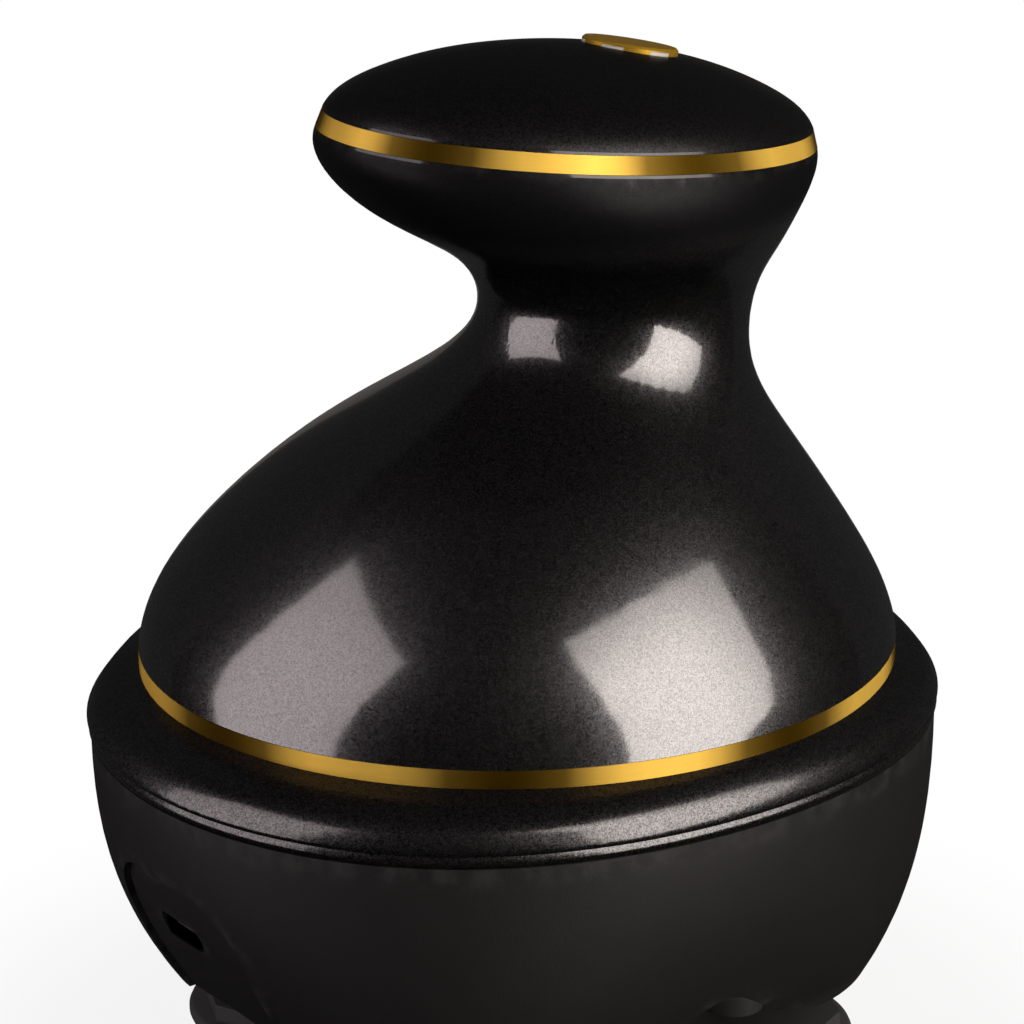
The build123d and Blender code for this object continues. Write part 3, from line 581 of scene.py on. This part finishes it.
@dataclass(frozen=True)
class MattMoulding(Finish):
    """Matt moulded plastic with a spark-eroded grain."""

    colour: Colour = (0.0105, 0.0105, 0.0105)
    roughness: float = 0.52
    rough_spread: float = 0.16
    grain_depth: float = 0.03 * MM
    density: float = 1.0
    specular: float = 0.4
    dust: float = 0.05
    dust_colour: Colour = (0.25, 0.25, 0.24)
    wear: float = 0.35

    def fill(self, tree: Tree, shader: bpy.types.Node) -> None:
        """Builds mottled colour, varied roughness and grain.

        Args:
            tree: The material's tree.
            shader: Its Principled BSDF.
        """
        grain = Effect.use(tree, fine_grain(), Density=self.density)
        dust = Effect.use(tree, settled_dust(), Amount=self.dust)
        wear = Effect.use(tree, edge_wear(), Amount=self.wear)
        pale = tuple(min(c * 1.35, 1.0) for c in self.colour)
        worn = tuple(min(c * 2.5 + 0.02, 1.0) for c in self.colour)
        base = tree.mix(grain.outputs["Mottle"], self.colour, pale)
        base = tree.mix(dust.outputs["Mask"], base, self.dust_colour)
        base = tree.mix(wear.outputs["Mask"], base, worn)
        tree.join(base, shader.inputs["Base Color"])
        rough = tree.scaled(grain.outputs["Height"], self.rough_spread,
                            self.roughness - self.rough_spread / 2)
        tree.join(rough, shader.inputs["Roughness"])
        shader.inputs["Specular IOR Level"].default_value = self.specular
        self.bump(tree, shader, grain.outputs["Height"], self.grain_depth)


@dataclass(frozen=True)
class BrushedMetal(Finish):
    """Metal with fine lines brushed round the Z axis.

    The base colour can carry pale bands of painted highlight round a ring, with painted shade
    between them; one field counts them and another gives the bearing of one of them. The bands turn
    about centre_y, and stretch evens them out on a ring that isn't round.
    """

    colour: Colour = (0.83, 0.56, 0.16)
    roughness: float = 0.27
    line_mm: float = 0.09
    line_depth: float = 0.004 * MM
    line_shade: float = 0.8
    line_run: float = 0.02
    stain_size: float = 7 * MM
    stain_spread: float = 0.08
    bounce_loss: float = 0.8
    specular: float = 0.1
    spread: float = 0.55
    metallic: float = 1.0
    painted_band_count: int = 0
    first_painted_band: float = 0.0
    centre_y: float = 0.0
    stretch: float = 1.0
    edge_tint: Colour = (1.0, 1.0, 1.0)
    # Colour of the painted shade between the painted highlight bands.
    painted_band_shade: Colour = (0.045, 0.024, 0.001)

    def fill(self, tree: Tree, shader: bpy.types.Node) -> None:
        """Builds brush lines from the height over the base, with faint stains, and painted
        highlight bands where the ring has them.

        Args:
            tree: The material's tree.
            shader: Its Principled BSDF.
        """
        place = tree.place()
        stretched = tree.add("ShaderNodeMapping")
        stretched.inputs["Scale"].default_value = (self.line_run, self.line_run, 1.0)
        tree.join(place, stretched.inputs["Vector"])
        lines = tree.noise(stretched.outputs["Vector"], self.line_mm * MM, 3.0)
        stains = tree.noise(place, self.stain_size, 3.0)
        lined = tree.mix(lines, tuple(c * self.line_shade for c in self.colour), self.colour)
        # Painted highlight bands, with painted shade between them, mixed into the base colour.
        base = tree.mix(self.painted_highlight_bands(tree, place), self.painted_band_shade, lined) if self.painted_band_count else lined
        glossy = tree.add("ShaderNodeLightPath").outputs["Is Glossy Ray"]
        bounced = tree.maths("MULTIPLY", glossy, self.bounce_loss)
        tree.join(tree.mix(bounced, base, NO_LIGHT), shader.inputs["Base Color"])
        shader.inputs["Metallic"].default_value = self.metallic
        shader.inputs["Specular IOR Level"].default_value = self.specular
        shader.inputs["Specular Tint"].default_value = (*self.edge_tint, 1.0)
        rough = tree.scaled(stains, self.stain_spread, self.roughness - self.stain_spread / 2)
        tree.join(rough, shader.inputs["Roughness"])
        shader.inputs["Anisotropic"].default_value = self.spread
        self.bump(tree, shader, lines, self.line_depth)

    def painted_highlight_bands(self, tree: Tree, place: bpy.types.NodeSocket) -> bpy.types.NodeSocket:
        """Paints pale bands of highlight and deep bands of shade round a ring, where brushed metal
        would reflect light and dark.

        Args:
            tree: The material's tree.
            place: Object coordinates.

        Returns:
            A mask that is 1 on the painted highlight bands.
        """
        axes = tree.split(place)
        behind = tree.maths("SUBTRACT", self.centre_y, axes["Y"])
        turn = tree.maths("ARCTAN2", tree.maths("MULTIPLY", axes["X"], self.stretch), behind)
        from_first = tree.maths("SUBTRACT", turn, math.radians(self.first_painted_band))
        phase = tree.maths("MULTIPLY", from_first, self.painted_band_count)
        wave = tree.scaled(tree.maths("COSINE", phase), 0.5, 0.5)
        return tree.ramp(wave, ((0.0, 0.0), (0.3, 0.12), (0.62, 0.7), (0.85, 1.0)))


@dataclass(frozen=True)
class MilkyLight(Finish):
    """Milky light guide, faintly lit from within."""

    shade: Colour = (0.5, 0.47, 0.38)
    pale: Colour = (0.6, 0.57, 0.47)
    cloud_size: float = 1.5 * MM
    cloud_depth: float = 0.01 * MM
    roughness: float = 0.25
    rough_spread: float = 0.1
    lamp: Colour = (0.95, 0.97, 1.0)
    lamp_strength: float = 0.03

    def fill(self, tree: Tree, shader: bpy.types.Node) -> None:
        """Builds a white body with faint flow marks.

        Args:
            tree: The material's tree.
            shader: Its Principled BSDF.
        """
        place = tree.place()
        cloud = tree.noise(place, self.cloud_size, 3.0)
        tree.join(tree.mix(cloud, self.shade, self.pale), shader.inputs["Base Color"])
        rough = tree.scaled(cloud, self.rough_spread, self.roughness)
        tree.join(rough, shader.inputs["Roughness"])
        shader.inputs["Emission Color"].default_value = (*self.lamp, 1.0)
        shader.inputs["Emission Strength"].default_value = self.lamp_strength
        self.bump(tree, shader, cloud, self.cloud_depth)


@dataclass(frozen=True)
class Silicone(Finish):
    """Soft black silicone with a dry, faintly dusty skin."""

    shade: Colour = (0.007, 0.007, 0.0075)
    pale: Colour = (0.011, 0.011, 0.0115)
    dust: float = 0.03
    dust_colour: Colour = (0.3, 0.3, 0.29)
    roughness: float = 0.45
    rough_spread: float = 0.15
    sheen: float = 0.15
    grain_depth: float = 0.02 * MM

    def fill(self, tree: Tree, shader: bpy.types.Node) -> None:
        """Builds the skin.

        Args:
            tree: The material's tree.
            shader: Its Principled BSDF.
        """
        grain = Effect.use(tree, fine_grain(), Density=0.6)
        dust = Effect.use(tree, settled_dust(), Amount=self.dust)
        base = tree.mix(grain.outputs["Mottle"], self.shade, self.pale)
        base = tree.mix(dust.outputs["Mask"], base, self.dust_colour)
        tree.join(base, shader.inputs["Base Color"])
        rough = tree.scaled(grain.outputs["Height"], self.rough_spread, self.roughness)
        tree.join(rough, shader.inputs["Roughness"])
        shader.inputs["Sheen Weight"].default_value = self.sheen
        self.bump(tree, shader, grain.outputs["Height"], self.grain_depth)


class Finishes(Enum):
    """Every finish on the massager."""

    # Body lacquer; under the cap its base colour carries a painted shade.
    GLOSS = FlakeLacquer("flake_lacquer", "gloss_black", soft_and_shaded_from=115 * MM,
                         ring_line=(128.35 * MM, 128.8 * MM))
    # Same lacquer as the body, with its base colours darkened as painted shade that keeps lamp
    # reflections off the dome.
    CAP_PAINTED_DARK = FlakeLacquer("cap_lacquer_painted_dark", "gloss_black", coat=0.03, ring_line=(130.9 * MM, 131.3 * MM),
                       base_roughness=0.4, metallic=0.84,
                       dark=(0.008, 0.008, 0.0083), bright=(0.036, 0.035, 0.036))
    SHOULDER = FlakeLacquer("shoulder_lacquer", "gloss_black", coat=0.3, coat_roughness=0.13,
                            flare=(SEAM_Z + 3.6 * MM, SEAM_Z + 8.2 * MM))
    SKIRT = MattMoulding("matt_skirt", "matte_black", colour=(0.007, 0.007, 0.007),
                         roughness=0.56, specular=0.3)
    # Both gold rings carry painted highlight bands, with painted shade between them, in their base
    # colour.
    BASE_GOLD = BrushedMetal("base_ring_gold", "gold", colour=(0.95, 0.6, 0.1), roughness=0.42,
                             metallic=0.5, edge_tint=(0.9, 0.6, 0.1), spread=0.3, painted_band_count=8,
                             first_painted_band=-15.0)
    CAP_GOLD = BrushedMetal("cap_ring_gold", "gold", colour=(0.95, 0.6, 0.1), roughness=0.42,
                            metallic=0.5, edge_tint=(0.9, 0.6, 0.1), spread=0.3, painted_band_count=6,
                            first_painted_band=-2.0, centre_y=9.1 * MM, stretch=1.34)
    BUTTON_GOLD = BrushedMetal("button_gold", "gold", colour=(0.55, 0.32, 0.03), roughness=0.38,
                               spread=0.2, metallic=0.6)
    STEEL = BrushedMetal("plain_steel", "steel", colour=(0.5, 0.5, 0.51), roughness=0.35)
    BLACK_NICKEL = BrushedMetal("black_nickel", "steel", colour=(0.012, 0.012, 0.012),
                                roughness=0.4)
    BRASS = BrushedMetal("machined_brass", "brass", colour=(0.65, 0.46, 0.2), roughness=0.3)
    LIGHT = MilkyLight("light_guide", "light_white")
    BLACK = MattMoulding("black_moulding", "black_moulding", colour=(0.02, 0.02, 0.02),
                         density=1.4)
    ACETAL = MattMoulding("natural_acetal", "white_moulding", colour=(0.55, 0.55, 0.52),
                          roughness=0.4)
    BOARD = MattMoulding("solder_resist", "circuit_green", colour=(0.01, 0.09, 0.035),
                         roughness=0.35)
    CELL = MattMoulding("cell_sleeve", "cell_wrap", colour=(0.02, 0.12, 0.25), roughness=0.3)
    SILICONE = Silicone("silicone", "silicone")


def dress(node: str, finish: Finishes) -> None:
    """Gives a CAD node its finish.

    Args:
        node: The node's name.
        finish: The finish it gets.
    """
    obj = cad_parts[node]
    obj.data.materials.clear()
    obj.data.materials.append(finish.value.material())
    LOG.info("%s: %s", node, finish.name)


def add_object(name: str, data: bpy.types.ID) -> bpy.types.Object:
    """Adds an object to the scene.

    Args:
        name: Its name.
        data: Its mesh or camera.

    Returns:
        The object.
    """
    obj = bpy.data.objects.new(name, data)
    bpy.context.scene.collection.objects.link(obj)
    return obj


# ---------------------------------------------------------------- sub-assemblies
@dataclass
class Housing:
    """Bell, cap, shoulder, skirt and trims."""

    finishes: dict[str, Finishes] = field(default_factory=lambda: {
        "bell_housing": Finishes.GLOSS,
        "top_cover": Finishes.CAP_PAINTED_DARK,
        "shoulder_ring": Finishes.SHOULDER,
        "lower_skirt": Finishes.SKIRT,
        "port_panel": Finishes.SKIRT,
        "base_trim_ring": Finishes.BASE_GOLD,
        "cap_trim_ring": Finishes.CAP_GOLD,
        "charging_socket": Finishes.BLACK_NICKEL,
        "socket_tongue": Finishes.BLACK,
    })

    def build(self) -> None:
        """Dresses every visible housing part."""
        for node, finish in self.finishes.items():
            dress(node, finish)


@dataclass
class PowerButton:
    """Gold button with its ring of light windows."""

    def build(self) -> None:
        """Dresses the button and its light ring."""
        dress("power_button", Finishes.BUTTON_GOLD)
        dress("light_ring", Finishes.LIGHT)


@dataclass
class Works:
    """Everything that the housing hides."""

    finishes: dict[str, Finishes] = field(default_factory=lambda: {
        "charging_board": Finishes.BOARD,
        "control_board": Finishes.BOARD,
        "battery_cell": Finishes.CELL,
        "motor_pinion": Finishes.BRASS,
        "indicator_lamps": Finishes.LIGHT,
    })
    moulded: tuple[str, ...] = ("base_plate", "gear_deck", "battery_cradle", "centre_gear",
                                "idler_gear")
    black: tuple[str, ...] = ("motor_end_cap", "push_switch", "switch_plunger")
    steel: tuple[str, ...] = ("centre_pin", "idler_pin", "motor_can", "motor_rotor",
                              "plate_screws", "deck_screws", "bell_screws", "motor_screws",
                              "board_screws")

    def build(self) -> None:
        """Dresses the inner parts."""
        for node, finish in self.finishes.items():
            dress(node, finish)
        for nodes, finish in ((self.moulded, Finishes.ACETAL), (self.black, Finishes.BLACK),
                              (self.steel, Finishes.STEEL)):
            for node in nodes:
                dress(node, finish)


@dataclass(frozen=True)
class Profile:
    """A lathe profile: radius and height pairs in millimetres, from the axis round to the axis."""

    points: tuple[tuple[float, float], ...]
    steps: int = 40

    def turn(self, mesh: bmesh.types.BMesh, x: float, y: float) -> None:
        """Turns the profile about an upright axis into a mesh.

        Args:
            mesh: The mesh that takes the faces.
            x: Place of the axis, in metres.
            y: Place of the axis, in metres.
        """
        rings = []
        for radius, height in self.points:
            count = self.steps if radius > 0 else 1
            turns = [math.tau * k / count for k in range(count)]
            rings.append([mesh.verts.new((x + radius * MM * math.cos(turn),
                                          y + radius * MM * math.sin(turn), height * MM))
                          for turn in turns])
        for lower, upper in zip(rings, rings[1:]):
            for k in range(self.steps):
                corners = [lower[k % len(lower)], lower[(k + 1) % len(lower)],
                           upper[(k + 1) % len(upper)], upper[k % len(upper)]]
                mesh.faces.new(list(dict.fromkeys(corners)))


@dataclass
class MassageHead:
    """One turning head with its moulded silicone pad.

    The pad is a rimmed disc with a ring of grip beads, a middle finger and four outer fingers. Each
    finger has a flared root, two soft steps and a rounded tip.
    """

    name: str
    finger_ring: float = 11.0 * MM
    outer_fingers: int = 4
    bead_ring: float = 7.0 * MM
    disc: Profile = Profile(((0.0, 7.3), (12.6, 7.3), (13.4, 7.05), (14.2, 6.95), (15.0, 7.1),
                             (15.55, 7.5), (15.8, 8.1), (15.8, 8.7), (15.6, 9.15), (15.2, 9.4),
                             (0.0, 9.4)), 96)
    finger: Profile = Profile(((0.0, 0.0), (0.7, 0.06), (1.15, 0.26), (1.42, 0.7), (1.58, 1.5),
                               (1.72, 2.3), (2.0, 2.5), (2.08, 2.75), (2.0, 3.0), (2.02, 4.0),
                               (2.3, 4.2), (2.38, 4.45), (2.3, 4.7), (2.36, 5.6), (2.55, 6.3),
                               (2.95, 6.9), (3.6, 7.25), (3.6, 8.0), (0.0, 8.0)), 32)
    bead: Profile = Profile(((0.0, 6.3), (0.5, 6.42), (0.85, 6.8), (1.05, 7.35), (1.05, 8.0),
                             (0.0, 8.0)), 20)

    def pad(self) -> bpy.types.Object:
        """Moulds the silicone pad in the place of the plain one.

        Returns:
            The pad's object, which turns with its head.
        """
        low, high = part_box(f"{self.name}_pad")
        x, y = (low.x + high.x) / 2, (low.y + high.y) / 2
        outward = math.atan2(y, x)
        shape = bmesh.new()
        self.disc.turn(shape, x, y)
        self.finger.turn(shape, x, y)
        for k in range(self.outer_fingers):
            turn = outward + math.tau * k / self.outer_fingers
            self.finger.turn(shape, x + self.finger_ring * math.cos(turn),
                             y + self.finger_ring * math.sin(turn))
        for k in range(2 * self.outer_fingers):
            turn = outward + math.tau * (k + 0.5) / (2 * self.outer_fingers)
            self.bead.turn(shape, x + self.bead_ring * math.cos(turn),
                           y + self.bead_ring * math.sin(turn))
        bmesh.ops.recalc_face_normals(shape, faces=shape.faces)
        mesh = bpy.data.meshes.new(f"{self.name}_silicone")
        shape.to_mesh(mesh)
        shape.free()
        mesh.shade_smooth()
        mesh.materials.append(Finishes.SILICONE.value.material())
        obj = add_object(f"{self.name}_silicone", mesh)
        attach(obj, f"head_{self.name}")
        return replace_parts(obj, f"{self.name}_pad")

    def build(self) -> None:
        """Dresses the head's hard parts and moulds its pad."""
        dress(f"{self.name}_gear", Finishes.ACETAL)
        dress(f"{self.name}_shaft", Finishes.STEEL)
        dress(f"{self.name}_carrier", Finishes.BLACK)
        self.pad()


# ---------------------------------------------------------------- studio
def bearing(azimuth: float, distance: float, height: float) -> Vector:
    """Turns a compass bearing round the product into a point.

    Args:
        azimuth: Degrees, 0 in front and 90 to the right.
        distance: From the product's axis, in metres.
        height: Above the floor, in metres.

    Returns:
        The point.
    """
    turn = math.radians(azimuth)
    return Vector((math.sin(turn) * distance, -math.cos(turn) * distance, height))


def stage_mesh(name: str, corners: Sequence[Vector], faces: Sequence[Sequence[int]],
               material: bpy.types.Material) -> bpy.types.Object:
    """Makes a piece of studio equipment that isn't part of the product.

    Args:
        name: Its name.
        corners: Its corner points.
        faces: Corner numbers of each face.
        material: Its material.

    Returns:
        The staged object.
    """
    mesh = bpy.data.meshes.new(name)
    mesh.from_pydata([tuple(corner) for corner in corners], [], faces)
    mesh.materials.append(material)
    obj = add_object(name, mesh)
    return obj


def stage_material(name: str) -> tuple[bpy.types.Material, Tree]:
    """Starts a material for studio equipment, without any nodes.

    Args:
        name: Its name.

    Returns:
        The material and its tree.
    """
    material = bpy.data.materials.new(name)
    material.use_nodes = True
    tree = Tree(material.node_tree)
    tree.tree.nodes.clear()
    return material, tree


@dataclass(frozen=True)
class SoftBox:
    """A tall light panel, given by the bearing and height of its four corners.

    The cloth is full bright up to fade_from, and dims to top_share at fade_to. It dims to
    side_share between the bearings side_from and side_to.
    """

    name: str
    radiance: float
    near_low: Bearing
    far_low: Bearing
    far_high: Bearing
    near_high: Bearing
    distance: float = 0.6
    fade_from: float = 0.4
    fade_to: float = 0.95
    top_share: float = 0.5
    side_from: float = 180.0
    side_to: float = 200.0
    side_share: float = 1.0
    tint: Colour = (1.0, 0.92, 0.87)

    def material(self) -> bpy.types.Material:
        """Builds a diffuser cloth that dims towards its top and is dark behind.

        Returns:
            The material.
        """
        material, tree = stage_material(self.name)
        axes = tree.split(tree.place())
        dim = tree.smooth(axes["Z"], (self.fade_from, self.fade_to),
                          (self.radiance, self.radiance * self.top_share))
        behind = tree.maths("MULTIPLY", axes["Y"], -1.0)
        edges = (math.radians(self.side_from), math.radians(self.side_to))
        side = tree.smooth(tree.maths("ARCTAN2", axes["X"], behind), edges, (1.0, self.side_share))
        backfacing = tree.add("ShaderNodeNewGeometry").outputs["Backfacing"]
        front = tree.maths("SUBTRACT", 1.0, backfacing)
        cloth = tree.maths("MULTIPLY", tree.maths("MULTIPLY", dim, side), front)
        glow = tree.emission(self.tint, cloth)
        tree.join(glow, tree.add("ShaderNodeOutputMaterial").inputs["Surface"])
        return material

    def build(self) -> None:
        """Sets the panel up, facing the product and out of the camera's sight."""
        outline = (self.near_low, self.far_low, self.far_high, self.near_high)
        corners = [bearing(azimuth, self.distance, height) for azimuth, height in outline]
        across = (corners[1] - corners[0]).cross(corners[3] - corners[0])
        order = (0, 1, 2, 3) if across.dot(corners[0]) < 0 else (3, 2, 1, 0)
        obj = stage_mesh(self.name, corners, [order], self.material())
        obj.visible_camera = False
        obj.visible_shadow = False


@dataclass(frozen=True)
class BlackFlags:
    """Dark cards all round the product that keep the white background out of the gloss.

    Only glossy rays see them. A paler strip stands behind the product, at rim_azimuth, and gives
    its edges a faint rim. rim_width and rim_top are in degrees.
    """

    radius: float = 2.0
    low: float = -1.2
    high: float = 3.2
    black: float = 0.004
    rim: float = 0.021
    rim_azimuth: float = 234.0
    rim_width: float = 62.0
    rim_top: float = 46.0
    sharpness: float = 14.0
    sides: int = 48

    def material(self) -> bpy.types.Material:
        """Builds the cards' cloth, paler behind the product.

        Returns:
            The material.
        """
        material, tree = stage_material("flag_cloth")
        axes = tree.split(tree.place())
        behind = bearing(self.rim_azimuth, 1.0, 0.0)
        along = tree.maths("ADD", tree.maths("MULTIPLY", axes["X"], behind.x),
                           tree.maths("MULTIPLY", axes["Y"], behind.y))
        edge = self.radius * math.cos(math.radians(self.rim_width))
        inside = tree.maths("SUBTRACT", along, edge)
        strip = tree.maths("MULTIPLY", inside, self.sharpness, clamp=True)
        top = self.radius * math.tan(math.radians(self.rim_top))
        below = tree.maths("SUBTRACT", top, axes["Z"])
        under = tree.maths("MULTIPLY", below, self.sharpness, clamp=True)
        rim = tree.maths("MULTIPLY", strip, under)
        glow = tree.emission(tree.mix(rim, (self.black,) * 3, (self.rim,) * 3))
        tree.join(glow, tree.add("ShaderNodeOutputMaterial").inputs["Surface"])
        return material

    def build(self) -> None:
        """Stands the cards in a ring, with one overhead and one underneath."""
        turns = [360.0 * k / self.sides for k in range(self.sides)]
        corners = [bearing(turn, self.radius, height)
                   for height in (self.low, self.high) for turn in turns]
        count = self.sides
        faces = [(k, (k + 1) % count, count + (k + 1) % count, count + k) for k in range(count)]
        faces += [tuple(range(count)), tuple(range(count, 2 * count))]
        obj = stage_mesh("black_flags", corners, faces, self.material())
        for kind in ("camera", "diffuse", "transmission", "volume_scatter", "shadow"):
            setattr(obj, f"visible_{kind}", False)


@dataclass
class Studio:
    """Pale floor, white backdrop, softboxes and camera.

    The camera sees the floor lit to white_near round the product, where its shadow shows, and to
    full white from open_to outwards.
    """

    azimuth: float = 53.955
    elevation: float = 18.703
    roll: float = -0.372
    distance: float = 478.51 * MM
    lens: float = 130.41
    aim_side: float = -0.33 * MM
    aim_height: float = 25.995 * MM
    sensor: float = 36.0
    clip: Span = (0.01, 20.0)
    fill_light: float = 0.2
    white: float = 1.0
    floor_radius: float = 6.0
    floor_drop: float = 0.2 * MM
    floor_shades: tuple[Colour, Colour] = ((0.8, 0.8, 0.8), (0.84, 0.84, 0.84))
    floor_roughness: float = 0.9
    open_from: float = 0.055
    open_to: float = 0.11
    white_near: float = 0.86
    flags: BlackFlags = BlackFlags()
    boxes: tuple[SoftBox, ...] = (
        SoftBox("softbox_left", 1.62, near_low=(4.0, -0.24), far_low=(323.0, -0.1),
                far_high=(307.0, 0.86), near_high=(9.0, 0.82), top_share=0.8,
                tint=(1.0, 0.88, 0.9)),
        SoftBox("softbox_right", 4.25, near_low=(90.0, -0.26), far_low=(132.0, 0.08),
                far_high=(142.7, 0.67), near_high=(75.0, 1.02), side_from=112.0, side_to=142.0,
                side_share=0.55),
        SoftBox("softbox_back", 0.1, near_low=(218.0, -0.1), far_low=(250.0, -0.1),
                far_high=(250.0, 0.16), near_high=(218.0, 0.16)),
    )

    def camera(self) -> None:
        """Makes the camera and frames the product as seen from its front right."""
        a, e = math.radians(self.azimuth), math.radians(self.elevation)
        back = Vector((math.sin(a) * math.cos(e), -math.cos(a) * math.cos(e), math.sin(e)))
        right = Vector((math.cos(a), math.sin(a), 0.0))
        aim = right * self.aim_side + Vector((0.0, 0.0, self.aim_height + SEAM_Z))
        data = bpy.data.cameras.new("studio_camera")
        data.lens = self.lens
        data.sensor_width = self.sensor
        data.clip_start, data.clip_end = self.clip
        obj = add_object("studio_camera", data)
        obj.location = aim + back * self.distance
        up = back.cross(right)
        frame_axes = Matrix((right, up, back)).transposed().to_4x4()
        obj.matrix_world = (Matrix.Translation(obj.location) @ frame_axes
                            @ Matrix.Rotation(math.radians(self.roll), 4, "Z"))
        bpy.context.scene.camera = obj

    def world(self) -> None:
        """White behind the product, and soft fill on its matt parts."""
        world = bpy.data.worlds.new("studio")
        bpy.context.scene.world = world
        world.use_nodes = True
        tree = Tree(world.node_tree)
        tree.tree.nodes.clear()
        path = tree.add("ShaderNodeLightPath").outputs
        bent = tree.maths("MAXIMUM", path["Is Glossy Ray"], path["Is Transmission Ray"])
        seen = tree.maths("MAXIMUM", path["Is Camera Ray"], bent)
        colour = tree.mix(seen, (self.fill_light,) * 3, (self.white,) * 3)
        shade = tree.add("ShaderNodeBackground")
        tree.join(colour, shade.inputs["Color"])
        out = tree.add("ShaderNodeOutputWorld")
        tree.join(shade.outputs[0], out.inputs["Surface"])

    def floor(self) -> None:
        """Pale floor that keeps a soft contact shadow and runs out to plain white."""
        mesh = bpy.data.meshes.new("studio_floor")
        grid = bmesh.new()
        bmesh.ops.create_circle(grid, cap_ends=True, radius=self.floor_radius, segments=96)
        grid.to_mesh(mesh)
        grid.free()
        obj = add_object("studio_floor", mesh)
        obj.location.z = -self.floor_drop
        material = bpy.data.materials.new("studio_floor")
        material.use_nodes = True
        tree = Tree(material.node_tree)
        shader = material.node_tree.nodes["Principled BSDF"]
        place = tree.place()
        shade = tree.mix(tree.noise(place, 0.4, 2.0), *self.floor_shades)
        tree.join(shade, shader.inputs["Base Color"])
        shader.inputs["Roughness"].default_value = self.floor_roughness
        both = tree.add("ShaderNodeMixShader")
        away = tree.add("ShaderNodeVectorMath", operation="LENGTH")
        tree.join(place, away.inputs[0])
        glow = tree.smooth(away.outputs["Value"], (self.open_from, self.open_to),
                           (self.white_near, 1.0))
        camera_ray = tree.add("ShaderNodeLightPath").outputs["Is Camera Ray"]
        tree.join(tree.maths("MULTIPLY", camera_ray, glow), both.inputs[0])
        tree.join(shader.outputs[0], both.inputs[1])
        tree.join(tree.emission((1.0, 1.0, 1.0), self.white), both.inputs[2])
        tree.join(both.outputs[0], material.node_tree.nodes["Material Output"].inputs["Surface"])
        mesh.materials.append(material)
        obj.visible_glossy = False

    def build(self) -> None:
        """Sets up floor, world, flags and light panels."""
        scene = bpy.context.scene
        scene.view_settings.view_transform = "Standard"
        self.world()
        self.floor()
        self.flags.build()
        for box in self.boxes:
            box.build()


def main() -> None:
    """Builds the scene in order: camera, studio, then every sub-assembly."""
    logging.basicConfig(level=logging.INFO)
    studio = Studio()
    studio.camera()
    studio.build()
    Housing().build()
    PowerButton().build()
    Works().build()
    for name in ("front_right", "front_left", "back_right", "back_left"):
        MassageHead(name).build()


if __name__ == "__main__":
    main()
